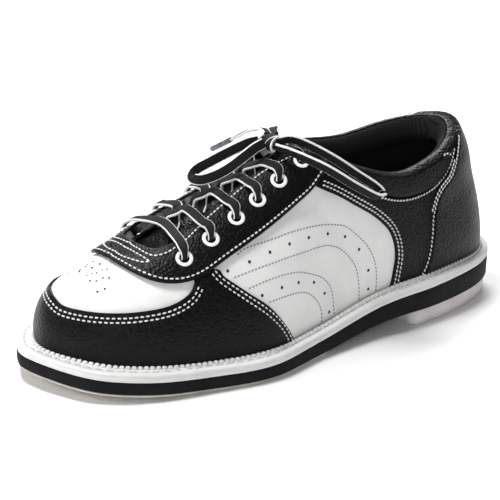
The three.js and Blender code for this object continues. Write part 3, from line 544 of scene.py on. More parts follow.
def lacquer(name, colour, worn, roughness):
    m = Nodes(name, colour, roughness, Coat_Weight=0.25, Coat_Roughness=0.15)
    haze = m.noise(3 * MM, 3)
    shade = m.mixed(m.remap(haze, 0, 1, 0.4, 0.7), colour, worn)
    return m.use(Base_Color=shade, Roughness=m.remap(haze, roughness - 0.05, roughness + 0.08))


def granules(name, light, dark, size, roughness):
    """Cork, board or foam: packed grains."""
    m = Nodes(name, light, roughness)
    grains = m.cells(size)
    fibres = m.noise(size * 0.4, 3)
    colour = m.mixed(m.remap(grains, 0, 1, 0.0, 0.8), light, dark)
    return m.use(Base_Color=colour, Normal=m.bump(fibres, 0.1 * MM, 0.6))


def brushed_steel(name):
    m = Nodes(name, (0.45, 0.46, 0.47), 0.35, Metallic=1.0)
    lines = m.wave(0.5 * MM, "Y", 3.0)
    return m.use(Roughness=m.remap(lines, 0.28, 0.45), Normal=m.bump(lines, 0.02 * MM, 0.4))


LOOKS = {
    "black_leather": pebbled_leather("black_leather"),
    "white_leather": smooth_leather("white_leather"),
    "white_welt": moulded_rubber(
        "white_welt", (0.76, 0.76, 0.755), (0.70, 0.70, 0.69),
        0.5, 1.2 * MM, 0.05 * MM,
    ),
    "black_sole": moulded_rubber(
        "black_sole", (0.008, 0.008, 0.009), (0.004, 0.004, 0.005),
        0.7, 0.8 * MM, 0.08 * MM,
    ),
    "heel_rubber": moulded_rubber(
        "heel_rubber", (0.79, 0.75, 0.75), (0.70, 0.655, 0.655),
        0.6, 1.0 * MM, 0.06 * MM,
    ),
    "slide_leather": moulded_rubber(
        "slide_leather", (0.62, 0.59, 0.54), (0.50, 0.46, 0.41),
        0.85, 0.7 * MM, 0.1 * MM,
    ),
    "textile": ribbed_textile("textile"),
    "foam": granules("foam", (0.08, 0.08, 0.08), (0.04, 0.04, 0.04), 1.2 * MM, 0.95),
    "board": granules("board", (0.50, 0.38, 0.24), (0.36, 0.26, 0.16), 1.5 * MM, 0.85),
    "cork": granules("cork", (0.46, 0.31, 0.17), (0.25, 0.15, 0.08), 2.5 * MM, 0.9),
    "steel": brushed_steel("steel"),
    "eyelet": lacquer("eyelet", (0.90, 0.90, 0.89), (0.82, 0.82, 0.80), 0.3),
    "lace": woven_lace("lace", (0.014, 0.014, 0.015), (0.004, 0.004, 0.004)),
    "lace_edge": woven_lace("lace_edge", (0.92, 0.92, 0.91), (0.70, 0.70, 0.69)),
    "aglet": lacquer("aglet", (0.06, 0.08, 0.10), (0.10, 0.12, 0.14), 0.25),
    "white_thread": waxed_thread("white_thread", (0.80, 0.80, 0.79), (0.55, 0.55, 0.54)),
    "welt_thread": waxed_thread("welt_thread", (0.62, 0.61, 0.58), (0.34, 0.33, 0.31)),
    "grey_thread": waxed_thread("grey_thread", (0.30, 0.30, 0.30), (0.18, 0.18, 0.18)),
    "hole": granules("hole", (0.05, 0.05, 0.05), (0.02, 0.02, 0.02), 0.5 * MM, 0.95),
}


# ---------------------------------------------------------------- laces
# One half of the flat lace's section, as shares of half its width and half its thickness, from one
# edge over the top to the other. The strips outside EDGE_BAND are the white edges.
EDGE_BAND = 0.82
LACE_TOP = [
    (-1, 0), (-0.95, 0.6), (-EDGE_BAND, 0.95), (-0.4, 0.9), (0, 1.0), (0.4, 0.9), (EDGE_BAND, 0.95),
    (0.95, 0.6),
]
LACE_SECTION = np.array(LACE_TOP + [(-x, -y) for x, y in LACE_TOP])


def lace_marks():
    n = len(LACE_SECTION)
    middles = [(LACE_SECTION[k][0] + LACE_SECTION[(k + 1) % n][0]) / 2 for k in range(n)]
    return [1 if abs(x) > EDGE_BAND else 0 for x in middles]


def lace(name, path, faces, steps=70, ends=(LACE_WIDTH, LACE_WIDTH), replaces=None):
    """A length of lace along a path, with its flat side toward `faces`. Returns it and its centreline."""
    t = np.linspace(0, 1, steps + 1)
    middle = along(path, t)
    forward = unit(along(path, np.minimum(t + 0.01, 1)) - along(path, np.maximum(t - 0.01, 0)))
    side = unit(np.cross(forward, along(faces, t)))
    normal = np.cross(side, forward)
    distance = steps_along(middle)
    from_end = np.minimum(distance, distance[-1] - distance)
    end = np.where(t < 0.5, ends[0], ends[1])
    width = mix(end, LACE_WIDTH, smooth(3 * MM, 9 * MM, from_end))
    sections = []
    for k in range(steps + 1):
        x, y = LACE_SECTION[:, :1] * width[k] / 2, LACE_SECTION[:, 1:] * LACE_THICK / 2
        sections.append(middle[k] + side[k] * x + normal[k] * y)
    coords = [(d, x * LACE_WIDTH / 2) for d in distance for x in LACE_SECTION[:, 0]]
    looks = [LOOKS["lace"], LOOKS["lace_edge"]]
    made = swept(name, sections, looks, marks=lace_marks(), coords=coords)
    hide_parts(replaces or name)
    return made, middle


def same_face(path, face):
    return [face] * len(path)


def free_lace(name, path, face, ends):
    made, middle = lace(name, path, same_face(path, face), steps=90, ends=ends)


def turned_piece(name, profile, axis, place, segments, look, body="shoe"):
    """A piece turned about an axis, from a closed profile of (radius, height)."""
    side = unit(np.cross(axis, [0.3, 0.5, 0.81]))
    other = np.cross(axis, side)
    rings = []
    for k in range(segments):
        angle = 2 * math.pi * k / segments
        out = side * math.cos(angle) + other * math.sin(angle)
        rings.append(np.array([place + out * r + axis * h for r, h in profile]))
    return swept(name, rings, [look], closed_run=True, body=body)


def make_aglet(name, path):
    forward = unit(path[-1] - path[-2])
    start = path[-1] + forward * GAP
    r, length = AGLET_RADIUS, AGLET_LENGTH
    profile = [(0.02 * MM, 0), (0.9 * r, 0), (r, 0.4 * MM), (r, 0.3 * length), (0.93 * r, 0.34 * length),
               (r, 0.38 * length), (r, length - 1 * MM), (0.6 * r, length), (0.02 * MM, length)]
    made = turned_piece(name, profile, forward, start, 20, LOOKS["aglet"])
    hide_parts(name)
    return made


def make_free_laces():
    end_face = np.array([0, 0.5, 0.85])
    full = (LACE_WIDTH, LACE_WIDTH)
    to_aglet = (4 * MM, 2.6 * MM)
    aglets = [make_aglet("aglet_front", FRONT_END), make_aglet("aglet_rear", REAR_END)]
    free_lace("lace_loop_outer", OUTER_LOOP, np.array([0.6, 0.6, -0.5]), full)
    free_lace("lace_loop_inner", INNER_LOOP, np.array([0.3, 0.9, 0.3]), full)
    free_lace("lace_end_front", FRONT_END, end_face, to_aglet)
    free_lace("lace_end_rear", REAR_END, np.array([-0.3, -0.8, 0.5]), to_aglet)


LACE_OVER = 3.3 * MM
LACE_UNDER = TONGUE_LEVEL + 1.4 * MM


def over_throat(station, across, height):
    """Over the throat at a station: across from the inner (-1) to the outer flap (1)."""
    p = mix(on_upper(station, 1.1), on_upper(station, 0.9), (across + 1) / 2)
    return p + np.array([0.35 * height, 0, height])


def own_side(side):
    return (lambda v: v) if side == "outer" else (lambda v: 2 - v)


def out_of_eyelet(side, k, lean=-0.002):
    """Places and facings of the lace as it comes up out of an eyelet and bends over to the throat."""
    own = own_side(side)
    u, v = EYELET_SPOTS[k]
    n = normal_at(u, own(v))
    to_ridge = unit(on_upper(u, own(v + 0.05)) - on_upper(u, own(v)))
    places = [lifted(u, own(v), 0.4 * MM), lifted(u, own(v + 0.004), 3.5 * MM),
              lifted(u + lean, own(v + 0.06), LACE_OVER + 1.2 * MM)]
    return places, [-to_ridge, n - to_ridge, n]


def lace_run(side, k):
    own = own_side(side)
    u, v = EYELET_SPOTS[k]
    sign = 1 if side == "outer" else -1
    heights = [2.8, 2.3, 1.2, 2.2] if side == "outer" else [2.4, -0.8, -2.7, 1.2]
    heights = [h * MM for h in heights[:3]] + [LACE_UNDER + heights[3] * MM]
    places, faces = out_of_eyelet(side, k)
    shares = zip([0.22, 0.5, 0.68, 0.82], [0.68, 0.1, -0.38, -0.6], heights)
    across = [over_throat(mix(u, EYELET_SPOTS[k - 1][0], t), a * sign, h) for t, a, h in shares]
    end = normal_at(u, own(0.95))
    first = lifted(mix(u, EYELET_SPOTS[k - 1][0], 0.08), own(v + 0.12), LACE_OVER + 0.4 * MM)
    lace(f"lace_run_{side}_{k + 1}", [*places, first, *across], [*faces, faces[2], end, end, end, end],
         ends=(3 * MM, LACE_WIDTH))


def lace_bar():
    u, v = EYELET_SPOTS[0]
    outer, outer_faces = out_of_eyelet("outer", 0)
    inner, inner_faces = out_of_eyelet("inner", 0)
    middle = [lifted(u, v + 0.16, LACE_OVER), over_throat(u, 0, 1.6 * MM), lifted(u, 2 - v - 0.16, LACE_OVER)]
    faces = [*outer_faces, outer_faces[2], np.array([0.4, 0, 0.9]), inner_faces[2], *inner_faces[::-1]]
    lace("lace_bar", [*outer, *middle, *inner[::-1]], faces, ends=(3 * MM, 3 * MM))


def lace_to_knot(side):
    places, faces = out_of_eyelet(side, len(EYELET_SPOTS) - 1, 0.004)
    sign = 1 if side == "outer" else -1
    end = KNOT + MM * np.array([-0.5, sign * 6.7, -0.5])
    lace(f"lace_to_knot_{side}", [*places, end], [*faces, np.array([0, 0.5 * sign, 0.8])], steps=40,
         ends=(2.8 * MM, 4 * MM))


def make_knot():
    """The bow's knot: two turns of lace that lean opposite ways."""
    wind = np.linspace(-0.35 * math.pi, 1.35 * math.pi, 9)
    faces = [np.array([math.cos(a), 0, math.sin(a)]) for a in wind]
    for name, raised, lean in (("knot_wrap_lower", 0, 0.35), ("knot_wrap_upper", 0.4, -0.55)):
        turn = [(5.0 * math.cos(a), lean * 4.5 * math.cos(a), 3.4 * math.sin(a) + raised) for a in wind]
        ring = [KNOT + MM * np.array(place) for place in turn]
        lace(name, ring, faces, steps=50, replaces="lace_knot")


def make_laces():
    lace_bar()
    for k in range(1, len(EYELET_SPOTS) - 1):
        lace_run("outer", k)
        lace_run("inner", k)
    lace_to_knot("outer")
    lace_to_knot("inner")
    make_knot()


# ---------------------------------------------------------------- stitches and small holes
def stitch_shape(rings=5, sides=8):
    """A stitch of unit size: a rounded rod along x that dips at both ends."""
    points = []
    for i in range(rings + 1):
        x = mix(-1, 1, i / rings)
        r = max(0.12, (1 - abs(x) ** 4) ** 0.5)
        for k in range(sides):
            a = 2 * math.pi * k / sides
            points.append((x, r * math.cos(a), r * math.sin(a) - 0.5 * x**4))
    faces = grid_faces(rings + 1, sides, loop=True)
    faces += [tuple(range(sides)), tuple(rings * sides + k for k in reversed(range(sides)))]
    return np.array(points), faces


def offset_line(curve, offset, samples=500):
    """Spots beside a curve of spots, at a distance on the surface: to its left, seen from outside."""
    spots = along(curve, np.linspace(0, 1, samples))
    u, v = spots.T
    points = on_upper(u, v)
    forward = unit(np.gradient(points, axis=0))
    aside = np.cross(normal_at(u, v), forward) * offset
    over_u, over_v = tangents(u, np.clip(v, 0.06, 1.94))
    frames = np.stack([over_u, over_v], -1)
    moves = np.einsum("nij,nj->ni", np.linalg.pinv(frames), aside)
    return spots + moves


def stitch_places(spots, lift, pitch, length, slant=0.0):
    """Middles and directions of the stitches of a row, evenly spaced along a line of spots."""
    u, v = spots.T
    points = lifted(u, v, np.full(len(u), lift))
    return even_stitches(points, normal_at(u, v), pitch, length, slant)


def even_stitches(points, normals, pitch, length, slant=0.0):
    distance = steps_along(points)
    count = max(int(distance[-1] / pitch), 1)
    middles = (np.arange(count) + 0.5) * distance[-1] / count

    def at(d):
        return np.stack([np.interp(d, distance, points[:, k]) for k in range(3)], -1)

    def normal(d):
        return unit(np.stack([np.interp(d, distance, normals[:, k]) for k in range(3)], -1))

    ahead, behind = at(middles + length / 2), at(middles - length / 2)
    forward = unit(ahead - behind)
    up = normal(middles)
    side = unit(np.cross(up, forward))
    turn = np.where(np.arange(count) % 2 == 0, slant, slant * 0.6)[:, None]
    forward = unit(forward * np.cos(turn) + side * np.sin(turn))
    side = np.cross(up, forward)
    return at(middles), forward, side, up


def stitch_piece(name, rows, look, length, width=0.42 * MM, height=0.34 * MM):
    """One piece of all the stitches of several rows."""
    shape, shape_faces = stitch_shape()
    half = np.array([length / 2, width, height])
    points, faces = [], []
    for middles, forward, side, up in rows:
        for k in range(len(middles)):
            local = shape * half
            start = len(points) * len(shape)
            points.append(middles[k] + local @ np.stack([forward[k], side[k], up[k]]))
            faces += [tuple(start + i for i in f) for f in shape_faces]
    return new_piece(name, np.concatenate(points), faces, [look])


def hole_piece(name, spots, level, radius, look_rim, relief=plain_relief):
    """Small punched holes: a low rim round a dark dished disc."""
    profile = [(1.45, -0.05), (1.25, 0.10), (1.0, 0.06), (0.8, -0.06), (0.0, -0.1)]
    segments = 14
    points, faces, marks = [], [], []
    for u, v in spots:
        place = lifted(u, v, np.asarray(level + relief(u, v)))
        n = normal_at(u, v)
        side = unit(np.cross(n, UP))
        other = np.cross(n, side)
        start = len(points)
        for r, h in profile[:-1]:
            for k in range(segments):
                a = 2 * math.pi * k / segments
                points.append(place + (side * math.cos(a) + other * math.sin(a)) * r * radius
                              + n * (h + 0.06) * MM)
        points.append(place + n * -0.02 * MM)
        points.append(place - n * 0.3 * MM)
        rings = len(profile) - 1
        faces += grid_faces(rings, segments, start=start, loop=True)
        marks += [0] * segments * 2 + [1] * segments
        centre, below = start + rings * segments, start + rings * segments + 1
        inner_ring = start + (rings - 1) * segments
        for k in range(segments):
            j = (k + 1) % segments
            faces.append((inner_ring + k, centre, inner_ring + j))
            faces.append((start + k, start + j, below))
            marks += [1, 0]
    return new_piece(name, points, faces, [look_rim, LOOKS["hole"]], marks=marks)


# ---------------------------------------------------------------- upper: outlines of spots
EYESTAY_OUTER = [
    (0.52, 0.76), (0.545, 0.64), (0.58, 0.58), (0.63, 0.542), (0.685, 0.502), (0.731, 0.462),
    (0.765, 0.468), (0.799, 0.524), (0.828, 0.62), (0.855, 0.75), (0.885, 0.93), (0.893, 1),
]
EYESTAY_INNER = [
    (0.54, 0.95), (0.57, 0.935), (0.6, 0.905), (0.64, 0.868), (0.68, 0.825), (0.715, 0.785),
    (0.745, 0.755), (0.77, 0.755), (0.786, 0.775), (0.8, 0.83), (0.812, 0.93), (0.815, 1),
]
PLUG_EDGE = [
    (0.745, 0.5), (0.744, 0.44), (0.758, 0.385), (0.79, 0.355), (0.84, 0.36), (0.89, 0.38),
    (0.935, 0.4), (0.972, 0.43), (1, 0.49),
]
PLUG_EDGE_INNER = [
    (0.745, 0.5), (0.744, 0.44), (0.758, 0.41), (0.79, 0.41), (0.84, 0.43), (0.89, 0.46), (0.935, 0.49),
    (0.97, 0.51), (1, 0.49),
]
PLUG_RIM = PLUG_EDGE + [(2 - u, v) for u, v in PLUG_EDGE_INNER[-2::-1]]
GUARD_FOOT = [
    (0.587, 0), (0.65, 0), (0.71, 0), (0.77, 0), (0.83, 0), (0.88, 0), (0.92, 0), (0.96, 0), (1, 0),
]
GUARD_REAR = [
    (0.587, 0), (0.6, 0.076), (0.634, 0.205), (0.668, 0.305), (0.697, 0.409), (0.708, 0.47), (0.745, 0.5),
]
QUARTER_FOOT = [(0.385, 0), (0.44, 0), (0.5, 0), (0.56, 0), (0.62, 0)]
QUARTER_TOP = [(0.41, 0.58), (0.48, 0.66), (0.55, 0.66), (0.64, 0.6), (0.72, 0.53)]
QUARTER_FRONT = [(0.62, 0), (0.66, 0.2), (0.70, 0.38), (0.72, 0.53)]
REAR_FRONT = [
    (0.415, 0), (0.41, 0.181), (0.406, 0.289), (0.408, 0.389), (0.419, 0.474), (0.447, 0.554),
    (0.486, 0.608), (0.53, 0.645), (0.553, 0.70), (0.555, 0.78),
]
REAR_TOP = [
    (0.19, 0.66), (0.25, 0.66), (0.3, 0.66), (0.35, 0.66), (0.4, 0.67), (0.455, 0.715), (0.505, 0.765),
    (0.555, 0.78),
]
REAR_FOOT = [(0.24, 0), (0.30, 0), (0.36, 0), (0.415, 0)]
WHITE_REAR_EDGE = REAR_FRONT[:8]


def quarter_relief(u, v):
    """A soft dent near the top of the white quarter, and shallow waves lower down."""
    dent = -0.9 * MM * np.exp(-((np.abs(u) - 0.545) / 0.022) ** 2 - ((v - 0.54) / 0.055) ** 2)
    ridge = 0.5 * MM * np.exp(-((np.abs(u) - 0.50) / 0.02) ** 2 - ((v - 0.52) / 0.06) ** 2)
    waves = 0.12 * MM * np.sin(np.abs(u) * 70 + 3 * v) * np.sin(v * 9)
    return np.minimum(dent + ridge + waves, 0.35 * MM)


def guard_relief(u, v):
    return 0.15 * MM * np.sin(u * 31 + 1) * np.sin(v * 12 + u * 9)


def make_panels():
    black, white = LOOKS["black_leather"], LOOKS["white_leather"]
    panel("eyestay", over_ridge(EYESTAY_OUTER), over_ridge(EYESTAY_INNER), "top", 14, 190, black,
          replaces=["eyestay"])
    panel("toe_guard", round_toe(GUARD_FOOT), PLUG_RIM, "overlay", 30, 190, black,
          left=GUARD_REAR, right=[(2 - u, v) for u, v in GUARD_REAR], relief=guard_relief,
          replaces=["toe_guard"])
    make_plug(white)
    for side, flip in (("outer", list), ("inner", other_side)):
        quarter, rear = f"quarter_{side}", f"rear_quarter_{side}"
        panel(quarter, flip(QUARTER_FOOT), flip(QUARTER_TOP), "base", 44, 60, white,
              right=flip(QUARTER_FRONT), relief=quarter_relief, replaces=[quarter])
        panel(rear, flip(REAR_FOOT), flip(REAR_TOP), "overlay", 40, 50, black,
              right=flip(REAR_FRONT), replaces=[rear])


PLUG_REAR = 0.745
PLUG_UNDER_GUARD = 0.05


def plug_edge_height(u, across):
    """The height where the guard's opening meets the plug, less what lies under the guard."""
    place = mix(0.25, 1, np.clip((u - PLUG_REAR) / (1 - PLUG_REAR), 0, 1))
    inner, outer = (along(edge, place)[..., 1] for edge in (PLUG_EDGE_INNER, PLUG_EDGE))
    return np.where(across > 0, inner, outer) - PLUG_UNDER_GUARD


def make_plug(white):
    rows, columns = 40, 90
    run, across = np.meshgrid(np.linspace(0, 1, rows), np.linspace(-1, 1, columns), indexing="ij")
    u = mix(np.maximum(0.865 - 0.3 * np.abs(across) ** 3, 0.725), 1, run)
    v = 1 + across * (1 - plug_edge_height(u, across))
    inner, outer = LAYER["base"]
    surface, normal = on_upper(u, v), normal_at(u, v)
    points = np.concatenate([(surface + normal * d).reshape(-1, 3) for d in (outer, inner)])
    made = new_piece("toe_plug", points, shell_faces(rows, columns), [white])
    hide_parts("toe_plug")


# ---------------------------------------------------------------- backstay, collar, linings
BACKSTAY_EDGE = [
    (0.358, 0), (0.353, 0.086), (0.339, 0.244), (0.326, 0.395), (0.315, 0.501), (0.29, 0.615), (0.25, 0.67),
    (0.215, 0.745), (0.185, 0.83), (0.155, 0.91), (0.13, 0.95),
]


def backstay_relief(u, v):
    """The backstay climbs over the padded collar."""
    return 1.9 * MM * smooth(0.5, 0.72, v)


def make_backstay():
    foot = [(-0.358, 0), (-0.17, 0), (0, 0), (0.17, 0), (0.358, 0)]
    top = [(-0.13, 0.95), (-0.065, 0.955), (0, 0.96), (0.065, 0.955), (0.13, 0.95)]
    panel("backstay", foot, top, "top", 60, 90, LOOKS["black_leather"],
          left=other_side(BACKSTAY_EDGE), right=BACKSTAY_EDGE, relief=backstay_relief, replaces=["backstay"])


COLLAR_FROM = 0.515  # its ends, at both sides of the throat
COLLAR_OUTSIDE = [0.0, 0.3, 0.6, 0.85]  # heights from the seam to the edge
COLLAR_LIFTS = np.array([0.4, 1.1, 1.3, 1.1]) * MM
COLLAR_INSIDE = MM * np.array([[-1.5, 1.4], [-4.5, 1.2], [-7, -1.2], [-8.2, -5], [-8.4, -9], [-7, -13]])


def collar_skin(u):
    """Ten points of the collar's skin at each station, from low outside over the edge to low inside."""
    fade = smooth(COLLAR_FROM, COLLAR_FROM - 0.08, np.abs(u))
    low = 0.672 + 0.115 * smooth(0.385, 0.505, np.abs(u))
    outside = [
        lifted(u, mix(low, 0.97, share), 0.5 * MM + fade * lift)
        for share, lift in zip(COLLAR_OUTSIDE, COLLAR_LIFTS)
    ]
    top = on_upper(u, np.ones_like(u))
    n = normal_at(u, 0.5 * np.ones_like(u))
    away = unit(np.concatenate([n[:, :2], 0 * n[:, 2:]], -1))
    inside = [top + away * out + UP * rise for out, rise in COLLAR_INSIDE]
    return np.stack(outside + inside, 1)


def collar_piece(name, start, end, depth, look):
    """A curved sheet of the collar between two places (0 to 1) round its section."""
    stations = np.linspace(-COLLAR_FROM, COLLAR_FROM, 150)
    skin = collar_skin(stations)
    t = np.linspace(start, end, 34)
    surface = np.stack([along(s, t) for s in skin])
    du = np.gradient(surface, axis=0)
    dt = np.gradient(surface, axis=1)
    normal = unit(np.cross(dt, du))
    centre = np.stack([along(s, np.array([0.55])) for s in skin]) - UP * 8 * MM
    normal = normal * np.sign(np.sum(normal * (surface - centre), -1, keepdims=True))
    edge = np.minimum(np.arange(len(t)), np.arange(len(t))[::-1])
    share = np.where(edge == 0, 0.3, np.where(edge == 1, 0.85, 1.0))
    outside = surface - normal * (depth * (1 - share))[None, :, None]
    inside = surface - normal * depth
    points = np.concatenate([outside.reshape(-1, 3), inside.reshape(-1, 3)])
    coords = np.concatenate([np.stack(np.meshgrid(t, stations), -1).reshape(-1, 2)] * 2)
    made = new_piece(name, points, shell_faces(len(stations), len(t)), [look], coords=coords)
    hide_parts(name)
    return made


def make_collar():
    collar_piece("collar_cover", 0.0, 5 / 9, 1.0 * MM, LOOKS["black_leather"])
    collar_piece("collar_lining", 5 / 9 + 0.002, 1.0, 1.0 * MM, LOOKS["textile"])
    make_collar_foam()


def make_collar_foam():
    """The padding inside the collar: a closed roll, 1.7 mm under its skin."""
    stations = np.linspace(-COLLAR_FROM + 0.004, COLLAR_FROM - 0.004, 90)
    skin = collar_skin(stations)
    t = np.linspace(0.02, 0.98, 30)
    sections = []
    for s in skin:
        ring = along(s, t)
        middle = ring.mean(0)
        inward = unit(middle - ring)
        sections.append(ring + inward * 1.7 * MM)
    made = swept("collar_foam", sections, [LOOKS["foam"]])
    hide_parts("collar_foam")


VAMP_TOP = [
    (0.6, 0.905), (0.68, 0.825), (0.745, 0.755), (0.786, 0.785), (0.815, 1), (0.87, 1), (0.935, 1), (1, 1),
]
VAMP_FOOT = [(0.6, 0.02), (0.68, 0.02), (0.76, 0.02), (0.84, 0.02), (0.92, 0.02), (1, 0.02)]
QUARTER_LINING_TOP = [
    (0, 0.76), (0.1, 0.76), (0.2, 0.74), (0.3, 0.7), (0.4, 0.7), (0.47, 0.74), (0.52, 0.8), (0.55, 0.9),
    (0.594, 0.91),
]


def make_linings():
    panel("vamp_lining", round_toe(VAMP_FOOT), round_toe(VAMP_TOP), "lining", 24, 110, LOOKS["textile"],
          replaces=["vamp_lining"])
    top = other_side(QUARTER_LINING_TOP[1:])[::-1] + QUARTER_LINING_TOP
    foot = [(mix(-0.594, 0.594, k / (len(top) - 1)), 0.02) for k in range(len(top))]
    panel("quarter_lining", foot, top, "lining", 24, 130, LOOKS["textile"],
          replaces=["quarter_lining"])


# ---------------------------------------------------------------- tongue
TONGUE_ROOT, TONGUE_REAR = 0.84, 0.575
TONGUE_TIP = 15 * MM
TONGUE_SPLIT = 0.82
TONGUE_BRIDGE = 0.3


def tongue_points(t, across, depth):
    station = mix(TONGUE_ROOT, TONGUE_REAR, np.minimum(t / TONGUE_SPLIT, 1))
    reach = 0.4 * (1 - 0.25 * smooth(0.9, 1, t))
    sink = TONGUE_LEVEL - depth - 1.4 * MM * smooth(0.5, 0.8, t)

    def level(a):
        return lifted(station, 1 - a * reach, sink)

    left, right = level(-TONGUE_BRIDGE + 0 * t), level(TONGUE_BRIDGE + 0 * t)
    bridged = mix(left, right, ((across + TONGUE_BRIDGE) / (2 * TONGUE_BRIDGE))[..., None])
    p = np.where((np.abs(across) < TONGUE_BRIDGE)[..., None], bridged, level(across))
    crown = 1.5 * MM * smooth(0.15, 0.35, t) * (1 - np.minimum(np.abs(across) / TONGUE_BRIDGE, 1) ** 2)
    beyond = TONGUE_TIP * np.clip((t - TONGUE_SPLIT) / (1 - TONGUE_SPLIT), 0, 1)
    lift = crown + 0.7 * beyond - 20 * beyond * np.abs(p[..., 1])
    return p + np.stack([-0.72 * beyond, 0 * beyond, lift], -1)


def tongue_layer(name, top, thick, shorter, look):
    lengthwise, crosswise = np.linspace(shorter, 1 - shorter, 70), np.linspace(-1, 1, 50) * (1 - shorter)
    t, across = np.meshgrid(lengthwise, crosswise, indexing="ij")
    outside = tongue_points(t, across, top)
    normal = unit(np.cross(np.gradient(outside, axis=1), np.gradient(outside, axis=0)))
    normal = normal * np.sign(normal[..., 2:])
    edge = np.minimum(np.minimum(t - shorter, 1 - shorter - t) * 12, (1 - shorter - np.abs(across)) * 5)
    share = 1 - 0.55 * (1 - np.clip(edge, 0, 1)) ** 3
    inside = outside - normal * thick
    outside = mix(inside, outside, share[..., None])
    points = np.concatenate([outside.reshape(-1, 3), inside.reshape(-1, 3)])
    coords = np.concatenate([np.stack([t, across], -1).reshape(-1, 2)] * 2)
    made = new_piece(name, points, shell_faces(*t.shape), [look], body="tongue", coords=coords)
    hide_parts(name)
    return made


def make_tongue():
    tongue_layer("tongue_face", 0.0, 1.2 * MM, 0.0, LOOKS["black_leather"])
    pad = tongue_layer("tongue_padding", 2.1 * MM, 4.0 * MM, 0.03, LOOKS["foam"])
    tongue_layer("tongue_lining", 7.3 * MM, 0.8 * MM, 0.0, LOOKS["textile"])


# ---------------------------------------------------------------- eyelets
def make_eyelets():
    low, flange = LAYER["lining"][0] - 0.4 * MM, LAYER["top"][1] + 0.15 * MM
    hole, outer, barrel = EYELET_HOLE, EYELET_OUTER, 2.9 * MM
    profile = [
        (hole, low), (barrel, low), (barrel, flange), (outer, flange),
        (outer + 0.02 * MM, flange + 0.25 * MM), (outer - 0.35 * MM, flange + 0.62 * MM),
        (mix(hole, outer, 0.45), flange + 0.85 * MM), (hole + 0.35 * MM, flange + 0.7 * MM),
        (hole, flange + 0.25 * MM),
    ]
    for i, (u, v) in enumerate(EYELET_SPOTS):
        for side in ("outer", "inner"):
            height = own_side(side)(v)
            name = f"eyelet_{side}_{i + 1}"
            axis, place = normal_at(u, height), on_upper(u, height)
            made = turned_piece(name, profile, axis, place, 36, LOOKS["eyelet"])
            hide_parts(name)


# ---------------------------------------------------------------- stitching of the upper
PITCH = 2.75 * MM
STITCH = 2.05 * MM
OVER_TOP = LAYER["top"][1] + 0.05 * MM
OVER_OVERLAY = LAYER["overlay"][1] + 0.05 * MM
OVER_BASE = LAYER["base"][1] + 0.02 * MM

THROAT_ROW = [
    (0.56, 0.895), (0.6, 0.87), (0.627, 0.846), (0.655, 0.815), (0.669, 0.799), (0.698, 0.771),
    (0.713, 0.749), (0.736, 0.716), (0.753, 0.703), (0.78, 0.70), (0.803, 0.753), (0.823, 0.924), (0.826, 1),
]
LEAF_ROW = [(0.806, 0.694), (0.812, 0.74), (0.824, 0.83), (0.838, 0.953), (0.842, 1)]
LEAF_ROW_UPPER = [(0.806, 0.694), (0.824, 0.736), (0.849, 0.851), (0.862, 0.94), (0.866, 1)]
# The arches of the quarter: four rows of stitches, and the punched holes between them.
ARCH_ROWS = [
    [(0.675, 0.496), (0.656, 0.507), (0.594, 0.481), (0.553, 0.468), (0.513, 0.474), (0.488, 0.47),
     (0.461, 0.406), (0.445, 0.324), (0.438, 0.215), (0.437, 0.02)],
    [(0.686, 0.395), (0.636, 0.394), (0.569, 0.374), (0.54, 0.378), (0.517, 0.382), (0.494, 0.355),
     (0.475, 0.281), (0.468, 0.173), (0.466, 0.02)],
    [(0.667, 0.322), (0.629, 0.328), (0.586, 0.31), (0.556, 0.282), (0.529, 0.244), (0.514, 0.177),
     (0.508, 0.02)],
    [(0.637, 0.235), (0.604, 0.229), (0.566, 0.212), (0.545, 0.17), (0.533, 0.106), (0.53, 0.01)],
]
ARCH_HOLES = [
    (0.692, 0.438), (0.659, 0.439), (0.625, 0.442), (0.59, 0.433), (0.554, 0.426), (0.521, 0.433),
    (0.492, 0.424), (0.468, 0.361), (0.452, 0.236), (0.451, 0.101), (0.647, 0.273), (0.611, 0.274),
    (0.577, 0.262), (0.547, 0.24), (0.527, 0.178), (0.518, 0.067),
]
COLLAR_ROW = [
    (0.52, 0.735), (0.47, 0.70), (0.431, 0.67), (0.394, 0.652), (0.351, 0.655), (0.304, 0.668),
    (0.267, 0.705), (0.237, 0.755), (0.212, 0.82), (0.196, 0.86),
]
COLLAR_CROSS_ROW = [(0.25, 0.95), (0.236, 0.915), (0.22, 0.83)]
GUARD_SEAM = [
    (0.589, 0.013), (0.599, 0.076), (0.612, 0.132), (0.634, 0.205), (0.668, 0.305), (0.697, 0.409),
    (0.708, 0.477),
]


def row(curve, offset, lift, pitch=PITCH, length=STITCH, slant=0.0):
    return stitch_places(offset_line(curve, offset), lift, pitch, length, slant)


def both_sides(curve):
    """A curve on the outer side and its twin on the inner side, which an offset mirrors."""
    return [(curve, 1), (other_side(curve), -1)]


